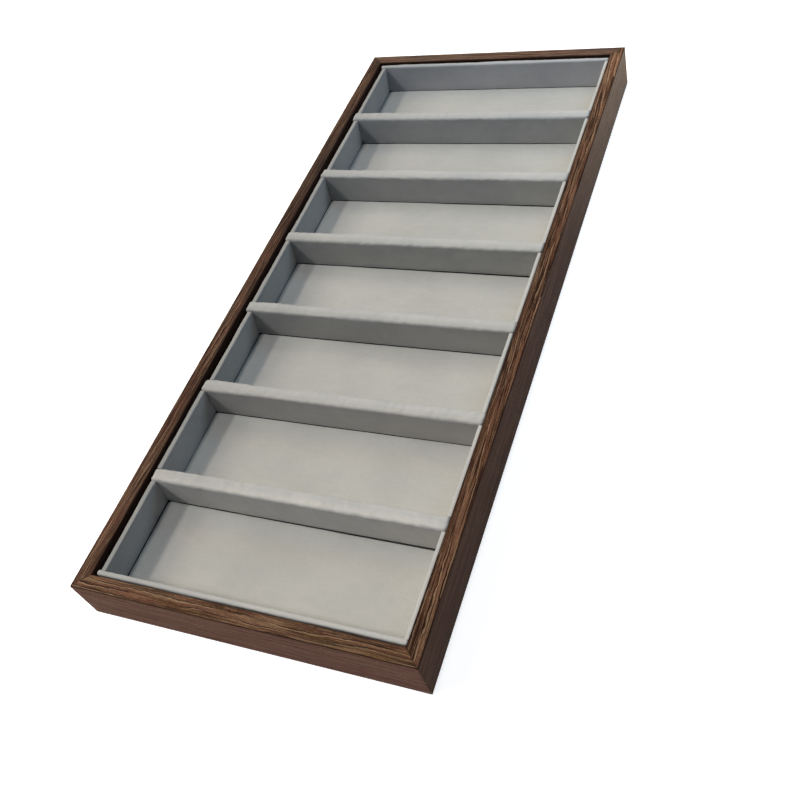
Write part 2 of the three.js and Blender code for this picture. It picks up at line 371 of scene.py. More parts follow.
class Skin:
    """Collects grids and faces and makes them one closed mesh."""

    def __init__(self, name: str) -> None:
        """Starts an empty skin.

        Args:
            name: The piece's name.
        """
        self.name = name
        self.points: list[np.ndarray] = []
        self.loops: list[np.ndarray] = []
        self.sizes: list[np.ndarray] = []
        self.grain: list[np.ndarray] = []
        self.marks: dict[str, list[np.ndarray]] = {}
        self.count = 0

    def add_points(self, points: np.ndarray, marks: Marks | None = None) -> np.ndarray:
        """Adds points with their marks.

        Args:
            points: The places, with 3 numbers each on the last axis.
            marks: Values for the points' attributes, by attribute name.

        Returns:
            The points' numbers, in the shape of the points.
        """
        shape = points.shape[:-1]
        size = int(np.prod(shape))
        self.points.append(points.reshape(-1, 3))
        for name in set(self.marks) | set(marks or {}):
            store = self.marks.setdefault(name, [np.zeros(self.count)])
            values = (marks or {}).get(name)
            store.append(np.zeros(size) if values is None else np.broadcast_to(values, shape).ravel())
        numbers = self.count + np.arange(size).reshape(shape)
        self.count += size
        return numbers

    def add_faces(self, faces: np.ndarray, grain: np.ndarray) -> None:
        """Adds faces with as many corners each.

        Args:
            faces: Point numbers, a row for each face.
            grain: UV places, as faces by corners by 2.
        """
        self.loops.append(faces.ravel())
        self.sizes.append(np.full(len(faces), faces.shape[1]))
        self.grain.append(grain.reshape(-1, 2))

    def add_grid(self, grid: Grid, flip: bool = False, marks: Marks | None = None) -> np.ndarray:
        """Adds a grid's points and the four-sided faces between them.

        Args:
            grid: The grid.
            flip: True turns the faces round.
            marks: Values for the points' attributes.

        Returns:
            The points' numbers, rows by columns.
        """
        numbers = self.add_points(grid.points, marks)
        cells = cell_corners(numbers)
        places = cell_corners(grid.grain)
        if flip:
            cells = cells[:, ::-1]
            places = places[:, ::-1]
        self.add_faces(cells, places)
        return numbers

    def finish(self, material: Material) -> Piece:
        """Welds the seams, turns the faces outwards and makes the object.

        Args:
            material: The finish of the whole piece.

        Returns:
            The new object, linked to the scene.
        """
        mesh = bpy.data.meshes.new(self.name)
        loops = np.concatenate(self.loops)
        sizes = np.concatenate(self.sizes)
        mesh.vertices.add(self.count)
        mesh.vertices.foreach_set("co", np.concatenate(self.points).astype(np.float32).ravel())
        mesh.loops.add(len(loops))
        mesh.loops.foreach_set("vertex_index", loops.astype(np.int32))
        mesh.polygons.add(len(sizes))
        mesh.polygons.foreach_set("loop_start", (np.cumsum(sizes) - sizes).astype(np.int32))
        mesh.update(calc_edges=True)
        layer = mesh.uv_layers.new(name=GRAIN_MAP)
        layer.uv.foreach_set("vector", np.concatenate(self.grain).astype(np.float32).ravel())
        for name, parts in self.marks.items():
            attribute = mesh.attributes.new(name, "FLOAT", "POINT")
            attribute.data.foreach_set("value", np.concatenate(parts).astype(np.float32))
        close_seams(mesh)
        mesh.shade_smooth()
        mesh.set_sharp_from_angle(angle=SHARP_ANGLE)
        mesh.materials.append(material)
        piece = bpy.data.objects.new(self.name, mesh)
        bpy.context.scene.collection.objects.link(piece)
        return piece


@dataclass(frozen=True)
class Bar:
    """A bar or sheet that runs along its own X and stands on z = 0, with rounded edges and ends.

    Its section goes from the foot on one side over the top to the other foot. Near an end the
    section shrinks as a quarter circle does, and the end face is filled with ever smaller copies
    of the last section.

    Attributes:
        length: Size along X.
        thickness: Size along Y.
        height: Size along Z.
        top_radius: Rounding of the upper edges.
        foot_radius: Rounding of the lower edges, which needs a closed foot.
        plan_radius: Rounding of the ends, seen from above.
        end_radius: Rounding of the ends' upper edge.
        step: Largest distance between neighbouring points.
        arc_points: Points in each rounded edge.
        open_foot: True for a cover that has no underside.
    """

    length: float
    thickness: float
    height: float
    top_radius: float
    foot_radius: float = 0.0
    plan_radius: float = 0.0
    end_radius: float = 0.0
    step: float = 1.4 * MM
    arc_points: int = 7
    open_foot: bool = False

    def section(self) -> np.ndarray:
        """The bar's section.

        Returns:
            Its points, as Y and Z.
        """
        half = self.thickness / 2
        corners = [(-half, 0.0), (-half, self.height), (half, self.height), (half, 0.0)]
        radii = [self.top_radius, self.top_radius]
        if not self.open_foot:
            corners = [(0.0, 0.0), *corners, (0.0, 0.0)]
            radii = [self.foot_radius, *radii, self.foot_radius]
        return spaced(rounded_path(corners, radii, self.arc_points), self.step)

    def rows(self) -> tuple[np.ndarray, np.ndarray]:
        """The rows from +X to -X: the end face, the rounded end, the middle and back again.

        Returns:
            Their places along X, and each row's size, from 0 at an end's middle to 1.
        """
        half = self.length / 2
        soft = max(self.plan_radius, self.end_radius)
        reach = self.height if self.open_foot else self.height / 2
        sizes = np.linspace(0.0, 1.0, max(2, round(reach / self.step)) + 1)[:-1]
        swing = np.linspace(QUARTER_TURN, 0.0, self.arc_points)
        arc = half - soft + soft * np.sin(swing) if soft > 0 else np.array([half])
        count = max(2, round((self.length - 2 * soft) / self.step) + 1)
        middle = np.linspace(half - soft, soft - half, count)[1:-1]
        cap = np.full(len(sizes), half)
        places = np.concatenate([cap, arc, middle, -arc[::-1], -cap])
        full = np.ones(2 * len(arc) + len(middle))
        return places, np.concatenate([sizes, full, sizes[::-1]])

    def inset(self, places: np.ndarray, radius: float) -> np.ndarray:
        """How far a rounded end draws the rows in: the radius less the root of what is left.

        Args:
            places: The rows' places along X.
            radius: The end's radius.

        Returns:
            A distance for each row.
        """
        if radius <= 0:
            return np.zeros_like(places)
        depth = np.clip(np.abs(places) - (self.length / 2 - radius), 0.0, radius)
        return radius - np.sqrt(np.maximum(radius**2 - depth**2, 0.0))

    def grid(self) -> Grid:
        """The bar's surface.

        A row's Y is the section's, narrowed by the inset and times the row's size. Its Z is the
        section's, lowered by the inset and drawn towards the end's middle by the row's size.

        Returns:
            The grid, whose columns are the section and whose rows go from +X to -X.
        """
        section = self.section()
        places, sizes = self.rows()
        half = self.thickness / 2
        middle = 0.0 if self.open_foot else self.height / 2
        narrow = sizes * (half - self.inset(places, self.plan_radius)) / half
        lower = (self.height - self.inset(places, self.end_radius)) / self.height
        points = np.empty((len(places), len(section), 3))
        points[..., 0] = places[:, None]
        points[..., 1] = narrow[:, None] * section[None, :, 0]
        points[..., 2] = middle + sizes[:, None] * (lower[:, None] * section[None, :, 1] - middle)
        across = distances(section)
        along = places + np.sign(places) * (1.0 - sizes) * half
        grain = np.stack(np.broadcast_arrays(along[:, None], across[None, :]), axis=-1)
        normals = unit(np.cross(np.gradient(points, axis=1), np.gradient(points, axis=0)))
        at_end = np.abs(places) > self.length / 2 - TINY
        normals[at_end] = np.sign(places[at_end])[:, None, None] * np.array([1.0, 0.0, 0.0])
        return Grid(points, grain, normals)


# Node trees, and the effects that materials share.


class Nodes:
    """Short calls that fill a node tree from left to right."""

    SPACING = 190
    ROWS = 7

    def __init__(self, tree: Tree) -> None:
        """Works on that tree."""
        self.tree = tree

    def make(self, kind: str, inputs: dict | None = None, **settings: object) -> Node:
        """Adds a node.

        Args:
            kind: The node's type.
            inputs: Values or sockets for its inputs, by name or number.
            settings: The node's own properties.

        Returns:
            The new node.
        """
        node = self.tree.nodes.new(kind)
        number = len(self.tree.nodes)
        node.location = (number // self.ROWS * self.SPACING, -(number % self.ROWS) * self.SPACING)
        for name, value in settings.items():
            setattr(node, name, value)
        for name, value in (inputs or {}).items():
            self.feed(node.inputs[name], value)
        return node

    def feed(self, socket: Socket, value: object) -> None:
        """Links a socket or sets its value.

        Args:
            socket: The input.
            value: A socket to link it to, or its value, where a colour has 3 numbers.
        """
        if isinstance(value, Socket):
            self.tree.links.new(value, socket)
        elif isinstance(value, tuple) and len(value) == 3 and socket.type == "RGBA":
            socket.default_value = (*value, 1.0)
        else:
            socket.default_value = value

    def math(self, operation: str, *values: object, clamp: bool = False) -> Socket:
        """The result of a sum or other operation on one to three values."""
        node = self.make("ShaderNodeMath", dict(enumerate(values)), operation=operation, use_clamp=clamp)
        return node.outputs[0]

    def plus(self, first: object, second: object) -> Socket:
        """The first value plus the second."""
        return self.math("ADD", first, second)

    def less(self, first: object, second: object) -> Socket:
        """The first value less the second."""
        return self.math("SUBTRACT", first, second)

    def times(self, first: object, second: object) -> Socket:
        """The first value times the second."""
        return self.math("MULTIPLY", first, second)

    def over(self, first: object, second: object) -> Socket:
        """The first value divided by the second."""
        return self.math("DIVIDE", first, second)

    def times_plus(self, first: object, second: object, rest: object) -> Socket:
        """The first value times the second, plus the rest."""
        return self.math("MULTIPLY_ADD", first, second, rest)

    def scaled(self, vector: object, factors: object) -> Socket:
        """A vector times another, number by number."""
        node = self.make("ShaderNodeVectorMath", {0: vector, 1: factors}, operation="MULTIPLY")
        return node.outputs[0]

    def noise(self, vector: object, scale: float, detail: float = 2.0, rough: float = 0.5) -> Socket:
        """Noise between 0 and 1 at that scale."""
        inputs = {"Vector": vector, "Scale": scale, "Detail": detail, "Roughness": rough}
        return self.make("ShaderNodeTexNoise", inputs).outputs["Fac"]

    def rise(self, value: object, low: float, high: float) -> Socket:
        """A smooth step from 0 at low to 1 at high."""
        inputs = {"Value": value, "From Min": low, "From Max": high}
        return self.make("ShaderNodeMapRange", inputs, interpolation_type="SMOOTHSTEP").outputs["Result"]

    def mix(self, share: object, under: object, over: object, mode: str = "MIX") -> Socket:
        """One colour laid over another by a share."""
        inputs = {0: share, 6: under, 7: over}
        return self.make("ShaderNodeMix", inputs, data_type="RGBA", blend_type=mode).outputs[2]

    def join(self, x: object, y: object, z: object) -> Socket:
        """A vector from three values."""
        return self.make("ShaderNodeCombineXYZ", {0: x, 1: y, 2: z}).outputs[0]

    def split(self, vector: object) -> list[Socket]:
        """The three values of a vector."""
        return list(self.make("ShaderNodeSeparateXYZ", {0: vector}).outputs)

    def mark(self, name: str) -> Socket:
        """The value of one of the piece's own attributes."""
        return self.make("ShaderNodeAttribute", attribute_name=name).outputs["Fac"]

    def place(self) -> Socket:
        """The place on the piece, in its own coordinates."""
        return self.make("ShaderNodeTexCoord").outputs["Object"]

    def use(self, group: Tree, inputs: dict) -> Node:
        """Adds a node that holds a group."""
        return self.make("ShaderNodeGroup", inputs, node_tree=group)


@dataclass
class Effect:
    """A node group in the making.

    Attributes:
        name: The group's name.
        inputs: Its inputs, as name and start value, where None stands for a vector.
        outputs: Its outputs' names, all plain values.
        nodes: Its nodes.
        source: The node that brings its inputs in.
        sink: The node that takes its outputs.
    """

    name: str
    inputs: dict[str, float | None]
    outputs: Sequence[str]
    nodes: Nodes = field(init=False)
    source: Node = field(init=False)
    sink: Node = field(init=False)

    def __post_init__(self) -> None:
        """Makes the group with its sockets."""
        tree = bpy.data.node_groups.new(self.name, "ShaderNodeTree")
        for name, start in self.inputs.items():
            kind = "NodeSocketVector" if start is None else "NodeSocketFloat"
            socket = tree.interface.new_socket(name=name, in_out="INPUT", socket_type=kind)
            if start is not None:
                socket.default_value = start
        for name in self.outputs:
            tree.interface.new_socket(name=name, in_out="OUTPUT", socket_type="NodeSocketFloat")
        self.nodes = Nodes(tree)
        self.source = self.nodes.make("NodeGroupInput")
        self.sink = self.nodes.make("NodeGroupOutput")

    def take(self, name: str) -> Socket:
        """The socket that brings an input in."""
        return self.source.outputs[name]

    def give(self, name: str, value: Socket) -> None:
        """Links a value to an output."""
        self.nodes.feed(self.sink.inputs[name], value)


# The grain's layers: width and length of a cell in pitches, part of the noise, detail and strength
# of the finer noises, and the noise values between which the layer sets in.
GRAIN_LAYERS = {
    "Streak": (1.0, 1.0, 3.1, 2.5, 0.6, 0.51, 0.62),
    "Line": (0.6, 0.7, 17.3, 2.0, 0.55, 0.51, 0.62),
    "Band": (2.6, 1.2, 61.7, 1.0, 0.5, 0.44, 0.58),
    "Tone": (7.0, 1.5, 31.7, 2.0, 0.5, 0.38, 0.62),
    "Fleck": (0.45, 0.05, 83.9, 2.0, 0.6, 0.52, 0.66),
    "Pore": (0.14, 0.07, 47.9, 1.0, 0.5, 0.55, 0.68),
}
RING_PATCHES = (2.2, 0.9, 71.3, 1.0, 0.5, 0.36, 0.56)

# The phase of each ring's wave, and the height from which the wave shows.
RINGS = {"Ring": (0.0, 0.66), "Rim": (1.15, 0.45)}

# Cells per metre along and across the grain, of its slow bends and its quick ones.
SLOW_BENDS = (13.0, 45.0)
QUICK_BENDS = (170.0, 260.0)

# How many waves the slow and the quick bends push the rings.
RING_PUSH = (3.2, 0.55)


def long_grain() -> Tree:
    """Wood grain along the first distance: streaks, lines, bands, slow tone, flecks, pores and rings.

    The second distance drifts with the first and wavers with a slow noise. Each layer is noise
    whose cells are some pitches wide and many times longer, cut by a smooth step. The rings are
    thin lines where a wave across the grain peaks, and their edges are pale beside the peaks.

    Returns:
        The group, with the outputs Streak, Line, Band, Tone, Fleck, Pore, Ring and Rim.
    """
    inputs = {"Grain": None, "Seed": 0.0, "Pitch": 1.3 * MM, "Stretch": 30.0}
    inputs |= {"Waver": 1.2 * MM, "Drift": 0.0, "Spacing": 2.9 * MM}
    effect = Effect("Long grain", inputs, (*GRAIN_LAYERS, *RINGS))
    nodes = effect.nodes
    seed = effect.take("Seed")
    pitch = effect.take("Pitch")
    along, across, _ = nodes.split(effect.take("Grain"))

    def bends(across: Socket, pace: Span, detail: float) -> Socket:
        """Noise around 0, with that many cells per metre along and across the grain."""
        place = nodes.join(nodes.times(along, pace[0]), nodes.times(across, pace[1]), seed)
        return nodes.less(nodes.noise(place, 1.0, detail), 0.5)

    slow = bends(across, SLOW_BENDS, 3.0)
    across = nodes.times_plus(slow, nodes.times(effect.take("Waver"), 2.0), across)
    across = nodes.times_plus(along, effect.take("Drift"), across)
    quick = bends(across, QUICK_BENDS, 2.0)
    wave = nodes.over(across, effect.take("Spacing"))
    wave = nodes.times_plus(slow, RING_PUSH[0], nodes.times_plus(quick, RING_PUSH[1], wave))
    wave = nodes.times(wave, 2 * math.pi)
    across = nodes.over(across, pitch)
    along = nodes.over(along, nodes.times(pitch, effect.take("Stretch")))

    def shown(width: float, length: float, part: float, detail: float, rough: float, *step: float) -> Socket:
        """How much of a layer shows, from the numbers in its row of the table."""
        place = nodes.join(nodes.over(along, length), nodes.over(across, width), nodes.plus(seed, part))
        return nodes.rise(nodes.noise(place, 1.0, detail, rough), *step)

    for name, layer in GRAIN_LAYERS.items():
        effect.give(name, shown(*layer))
    strength = shown(*RING_PATCHES)
    for name, (phase, low) in RINGS.items():
        peak = nodes.rise(nodes.math("COSINE", nodes.plus(wave, phase)), low, 1.0)
        effect.give(name, nodes.times(peak, strength))
    return nodes.tree


def short_pile() -> Tree:
    """Velvet's pile: patches where the nap leans, brush marks, fine flecks and the pile's height.

    The nap is seven tenths slow noise and three tenths noise drawn out by a brush. The flecks are
    fibres plus tufts, and the height is six tenths tufts and four tenths fibres.

    Returns:
        The group, with the outputs Nap, Fleck and Height.
    """
    inputs = {"Place": None, "Seed": 0.0, "Patch": 28.0, "Fibre": 2600.0}
    effect = Effect("Short pile", inputs, ("Nap", "Fleck", "Height"))
    nodes = effect.nodes
    seed = effect.take("Seed")
    patch = effect.take("Patch")
    fibres = effect.take("Fibre")
    shift = nodes.join(seed, nodes.times(seed, 1.7), 0.0)
    shifted = nodes.make("ShaderNodeVectorMath", {0: effect.take("Place"), 1: shift}, operation="ADD")
    place = shifted.outputs[0]
    slow = nodes.noise(place, patch, 3.0, 0.55)
    brushed = nodes.noise(nodes.scaled(place, (1.0, 3.0, 2.0)), nodes.times(patch, 4.0), 2.0)
    nap = nodes.plus(nodes.times(slow, 0.7), nodes.times(brushed, 0.3))
    fibre = nodes.noise(place, fibres, 3.0, 0.7)
    tuft = nodes.noise(place, nodes.times(fibres, 0.3), 2.0, 0.6)
    effect.give("Nap", nodes.rise(nap, 0.32, 0.68))
    effect.give("Fleck", nodes.rise(nodes.plus(fibre, tuft), 0.75, 1.25))
    effect.give("Height", nodes.times_plus(tuft, 0.6, nodes.times(fibre, 0.4)))
    return nodes.tree


def pressed_fibre() -> Tree:
    """Short fibres pressed into board, card or felt: their light and dark flecks and their height.

    The flecks are a smooth step over the sum of fine noise, noise drawn out one way and blotches.

    Returns:
        The group, with the outputs Fleck and Height.
    """
    inputs = {"Place": None, "Scale": 900.0, "Blotch": 60.0}
    effect = Effect("Pressed fibre", inputs, ("Fleck", "Height"))
    nodes = effect.nodes
    place = effect.take("Place")
    fine = nodes.noise(place, effect.take("Scale"), 4.0, 0.65)
    long_way = nodes.noise(nodes.scaled(place, (1.0, 4.0, 2.0)), effect.take("Scale"), 2.0)
    blotch = nodes.noise(place, effect.take("Blotch"), 2.0)
    total = nodes.plus(nodes.plus(fine, long_way), blotch)
    effect.give("Fleck", nodes.rise(total, 1.2, 1.85))
    effect.give("Height", fine)
    return nodes.tree


def edge_wear() -> Tree:
    """Breaks up an edge's own mark with noise, as handling does.

    The wear is the mark times a smooth step over the mark plus twice the noise's swing.

    Returns:
        The group, with the output Wear.
    """
    inputs = {"Grain": None, "Mark": 0.0, "Scale": 400.0, "Amount": 0.5}
    effect = Effect("Edge wear", inputs, ("Wear",))
    nodes = effect.nodes
    mark = effect.take("Mark")
    speckle = nodes.noise(effect.take("Grain"), effect.take("Scale"), 3.0, 0.6)
    swing = nodes.times(nodes.less(speckle, 0.5), effect.take("Amount"))
    reach = nodes.plus(mark, nodes.times(swing, 2.0))
    effect.give("Wear", nodes.math("MULTIPLY", nodes.rise(reach, 0.25, 0.8), mark, clamp=True))
    return nodes.tree


class Effects:
    """The shared node groups, each built once."""

    def __init__(self) -> None:
        """Builds the groups."""
        self.grain = long_grain()
        self.pile = short_pile()
        self.fibre = pressed_fibre()
        self.wear = edge_wear()


# Finishes.


def new_material(name: str, **constants: object) -> tuple[Material, Nodes, Node]:
    """Starts a material.

    Args:
        name: The material's name.
        constants: Values of the shader's own sockets, with _ for the spaces in their names.

    Returns:
        The material, its nodes and its surface shader.
    """
    material = bpy.data.materials.new(name)
    material.use_nodes = True
    shader = material.node_tree.nodes["Principled BSDF"]
    for socket, value in constants.items():
        shader.inputs[socket.replace("_", " ")].default_value = value
    return material, Nodes(material.node_tree), shader


def add_bump(nodes: Nodes, shader: Node, height: Socket, depth: float) -> None:
    """Tilts a shader's normal by a height, where a height of 1 stands depth above 0."""
    bump = nodes.make("ShaderNodeBump", {"Height": height, "Distance": depth, "Strength": 1.0})
    nodes.feed(shader.inputs["Normal"], bump.outputs["Normal"])


@dataclass(frozen=True)
class RailWood:
    """Dark open-grained veneer with near-black streaks and tan lines along the rail.

    Attributes:
        seed: Picks the part of the pattern.
        side: Ground colour of the upright faces.
        side_far: The same at the rail's other end; the right rail's paler far end is a painted reflection.
        drift: How far the grain runs off the rail's line, as a slope.
        brown: Ground colour of the top.
        deep: Darker ground, which comes and goes in wide bands.
        tan: Colour of the pale lines and bands.
        red: Warm tone that comes and goes.
        dark: Colour of the streaks.
        wear_and_shade_dark: Colour of the worn outer arris, the mitre lines and the side under the top, and
            of the painted shade on the top's inner edge and the inner face.
        pale: Share of the tan on the top.
        streak: Share of the dark streaks on the top.
        ring: Share of the thin dark lines on the top.
        side_turn: Where along the rail the side's colour starts and ends its change.
        side_contrast: Share of the streaks that the upright faces keep.
        start: Brightness of the top at the rail's low end, partly the veneer's tone and partly painted
            light.
        tone_and_light_changes: Where along the rail that brightness starts and ends a change, and by how
            much: partly tone, partly painted light.
        shade: How dark the painted shade on the top is along its inner arris.
        brow: How dark the side is just under the top.
        brow_span: The heights between which that sets in.
        inner: How dark the painted shade on the inner face and along the inner arris is.
        arris: How dark the outer arris is, where it is worn.
        worn: How much noise breaks that wear up.
        mitre: How dark the glue line is.
        gloss: How much the veneer mirrors.
        roughness: Its roughness beside and in the streaks.
        relief: Depth of the pores.
        ring_relief: Depth of the thin dark lines, as a share of that.
        fine: Pitch, stretch and waver of the fine grain over the bold one.
    """

    seed: float
    side: Colour
    side_far: Colour
    drift: float = 0.012
    brown: Colour = (0.150, 0.076, 0.030)
    deep: Colour = (0.085, 0.036, 0.014)
    tan: Colour = (0.330, 0.200, 0.115)
    red: Colour = (0.150, 0.052, 0.032)
    dark: Colour = (0.012, 0.005, 0.003)
    wear_and_shade_dark: Colour = (0.014, 0.007, 0.005)
    pale: float = 0.75
    streak: float = 0.60
    ring: float = 0.92
    side_turn: Span = (-0.1, 0.1)
    side_contrast: float = 0.22
    start: float = 1.0
    tone_and_light_changes: tuple[tuple[float, float, float], ...] = ()
    shade: float = 0.0
    brow: float = 0.0
    brow_span: Span = (27.8 * MM, 30.0 * MM)
    inner: float = 0.80
    arris: float = 0.90
    worn: float = 0.45
    mitre: float = 0.55
    gloss: float = 0.07
    roughness: Span = (0.60, 0.70)
    relief: float = 0.05 * MM
    ring_relief: float = 0.4
    fine: tuple[float, float, float] = (0.42 * MM, 55.0, 0.7 * MM)

    def material(self, effects: Effects, name: str) -> Material:
        """The finish of one rail.

        Args:
            effects: The shared groups.
            name: The material's name.

        Returns:
            The material.
        """
        material, nodes, shader = new_material(name, Specular_IOR_Level=self.gloss)
        grain = nodes.make("ShaderNodeUVMap", uv_map=GRAIN_MAP).outputs[0]
        along = nodes.split(grain)[0]
        top = nodes.mark("top")
        bold_inputs = {"Grain": grain, "Seed": self.seed, "Drift": self.drift}
        fine_inputs = dict(zip(("Pitch", "Stretch", "Waver"), self.fine)) | {"Seed": self.seed + 5.0}
        bold = nodes.use(effects.grain, bold_inputs).outputs
        fine = nodes.use(effects.grain, bold_inputs | fine_inputs).outputs
        # The side's colour along the rail; on the right rail the paler far end is a painted reflection.
        side = nodes.mix(nodes.rise(along, *self.side_turn), self.side, self.side_far)
        colour = nodes.mix(top, side, nodes.mix(bold["Tone"], self.deep, self.brown))

        # Mask, colour, share on the top, and how much more of it than of others the sides keep.
        layers = (
            (bold["Band"], self.tan, self.pale * 0.40, 1.0),
            (fine["Tone"], self.red, 0.50, 1.0),
            (bold["Rim"], self.tan, self.pale, 0.3),
            (fine["Line"], self.tan, self.pale * 0.40, 1.0),
            (bold["Fleck"], self.tan, self.pale * 0.35, 1.0),
            (bold["Streak"], self.dark, self.streak, 1.0),
            (bold["Ring"], self.dark, self.ring, 0.3),
            (fine["Streak"], self.dark, self.streak, 1.0),
            (fine["Fleck"], self.dark, 0.30, 5.0),
            (fine["Pore"], self.dark, 0.60, 2.0),
        )
        for mask, over, share, gain in layers:
            side_share = share * self.side_contrast * gain
            strength = nodes.times_plus(top, share - side_share, side_share)
            colour = nodes.mix(nodes.times(mask, strength), colour, over)
        # The top's brightness along the rail: partly the veneer's tone, partly painted light.
        tone = self.start
        for low, high, change in self.tone_and_light_changes:
            tone = nodes.times_plus(nodes.rise(along, low, high), change, tone)
        toned = nodes.mix(1.0, colour, nodes.join(tone, tone, tone), "MULTIPLY")
        colour = nodes.mix(top, colour, toned)

        height = nodes.split(nodes.place())[2]
        edge = nodes.use(effects.wear, {"Grain": grain, "Mark": nodes.mark("arris"), "Amount": self.worn})
        # Darkened places: the side under the top, painted shade on the top's inner edge and on the inner
        # face, the worn outer arris and the mitre's joint.
        darkened = (
            (nodes.times(nodes.rise(height, *self.brow_span), nodes.less(1.0, top)), self.brow),
            (nodes.mark("shade"), self.shade),
            (nodes.mark("inner"), self.inner),
            (edge.outputs["Wear"], self.arris),
            (nodes.mark("mitre"), self.mitre),
        )
        for mask, share in darkened:
            colour = nodes.mix(nodes.times(mask, share), colour, self.wear_and_shade_dark)
        nodes.feed(shader.inputs["Base Color"], colour)
        smoothest, roughest = self.roughness
        roughness = nodes.times_plus(bold["Streak"], roughest - smoothest, smoothest)
        nodes.feed(shader.inputs["Roughness"], roughness)
        hollow = nodes.times_plus(bold["Ring"], self.ring_relief, fine["Pore"])
        add_bump(nodes, shader, nodes.less(1.0, hollow), self.relief)
        return material


def rail_woods() -> dict[RailSide, RailWood]:
    """The veneer of each rail: lively on the near and right rails, quieter on the other two.

    Returns:
        A finish for each rail.
    """
    # The right rail's side pales towards its far end as a painted reflection.
    grey_brown = (0.066, 0.031, 0.020)
    painted_reflection_brown = (0.360, 0.250, 0.170)
    red_brown = (0.143, 0.041, 0.0145)
    burgundy = (0.128, 0.033, 0.0145)
    plain_brown = (0.066, 0.036, 0.027)
    near = RailWood(2.6, red_brown, burgundy, pale=0.90, side_contrast=0.48, start=1.18,
                    tone_and_light_changes=((-0.05, 0.00, -0.09), (0.01, 0.06, -0.08)))
    right = RailWood(15.0, grey_brown, painted_reflection_brown, -0.02, (0.105, 0.046, 0.023), (0.048, 0.019, 0.010),
                     pale=0.90, streak=0.85, side_turn=(0.02, 0.27), start=1.05,
                     tone_and_light_changes=((0.12, 0.21, 0.40),), shade=0.60, brow=0.35, gloss=0.03)
    far = RailWood(28.0, plain_brown, plain_brown, brown=(0.110, 0.070, 0.053), deep=(0.065, 0.038, 0.029),
                   pale=0.60, streak=0.50, ring=0.85, side_contrast=0.40)
    left = RailWood(41.0, plain_brown, plain_brown, 0.02, (0.052, 0.022, 0.012), (0.020, 0.009, 0.006),
                    pale=0.50, streak=0.70, side_contrast=0.40, start=0.95,
                    tone_and_light_changes=((-0.19, -0.10, -0.32), (-0.06, 0.06, 0.44), (0.11, 0.20, 0.46)), shade=0.30)
    return {RailSide.NEAR: near, RailSide.RIGHT: right, RailSide.FAR: far, RailSide.LEFT: left}


@dataclass(frozen=True)
class Velvet:
    """Short-pile velvet: pale where the nap leans towards the eye, darker where it leans away.

    Attributes:
        light: Colour of the nap leaning one way.
        shade: Colour of the nap leaning the other way.
        fleck: Colour between the fibres.
        fleck_share: How much of that shows.
        painted_light_sweep: Painted light: how bright the velvet is at the tray's left and right, as shares
            of its colour.
        sweep_span: The places along X between which that changes.
        crest: How bright the piece's top is painted, as a share of its colour: painted light above 1 and
            painted shade below.
        face: Tint of the upright faces, painted light and shade that sets how bright and how cool each face
            looks.
        paper: Colour of the paper on a card's back.
        foot: Height above the tray's underside below which the foot is painted dark, as shade in the crease
            by the floor, or 0 for none.
        foot_edge: How far below and above that height the painted shade fades.
        crease_shade: Colour of that painted shade.
        relief: Height of the pile's fibres.
    """

    light: Colour = (0.470, 0.455, 0.420)
    shade: Colour = (0.415, 0.405, 0.380)
    fleck: Colour = (0.300, 0.295, 0.280)
    fleck_share: float = 0.18
    painted_light_sweep: Span = (1.0, 1.0)
    sweep_span: Span = (-90 * MM, 10 * MM)
    crest: float = 1.0
    face: Colour = WHITE
    paper: Colour = (0.090, 0.066, 0.050)
    foot: float = 0.0
    foot_edge: Span = (0.1 * MM, 0.2 * MM)
    crease_shade: Colour = (0.012, 0.012, 0.012)
    relief: float = 0.12 * MM

    def material(self, effects: Effects, name: str, seed: float) -> Material:
        """The finish of one velvet piece.

        Args:
            effects: The shared groups.
            name: The material's name.
            seed: Picks the part of the pattern.

        Returns:
            The material.
        """
        material, nodes, shader = new_material(
            name,
            Roughness=0.95,
            Specular_IOR_Level=0.12,
            Sheen_Weight=0.25,
            Sheen_Roughness=0.45,
            Sheen_Tint=(0.95, 0.93, 0.90, 1.0),
        )
        place = nodes.place()
        x, _, z = nodes.split(place)
        pile = nodes.use(effects.pile, {"Place": place, "Seed": seed}).outputs
        colour = nodes.mix(pile["Nap"], self.shade, self.light)
        colour = nodes.mix(nodes.times(nodes.less(1.0, pile["Fleck"]), self.fleck_share), colour, self.fleck)
        # Painted light: the velvet gets brighter from the tray's left to its right.
        left, right = self.painted_light_sweep
        painted_sweep = nodes.times_plus(nodes.rise(x, *self.sweep_span), right - left, left)
        # Painted light and shade: the top is made brighter or darker by its crest shading, the upright faces
        # by their tint.
        tint = nodes.mix(nodes.mark("crest"), self.face, (self.crest, self.crest, self.crest))
        colour = nodes.scaled(nodes.scaled(colour, tint), nodes.join(painted_sweep, painted_sweep, painted_sweep))
        colour = nodes.mix(nodes.mark("paper"), colour, self.paper)
        # Painted shade in the crease at the foot of the walls and strips.
        if self.foot > 0.0:
            below, beyond = self.foot_edge
            above = nodes.rise(z, self.foot - below, self.foot + beyond)
            colour = nodes.mix(above, self.crease_shade, colour)
        nodes.feed(shader.inputs["Base Color"], colour)
        add_bump(nodes, shader, pile["Height"], self.relief)
        return material


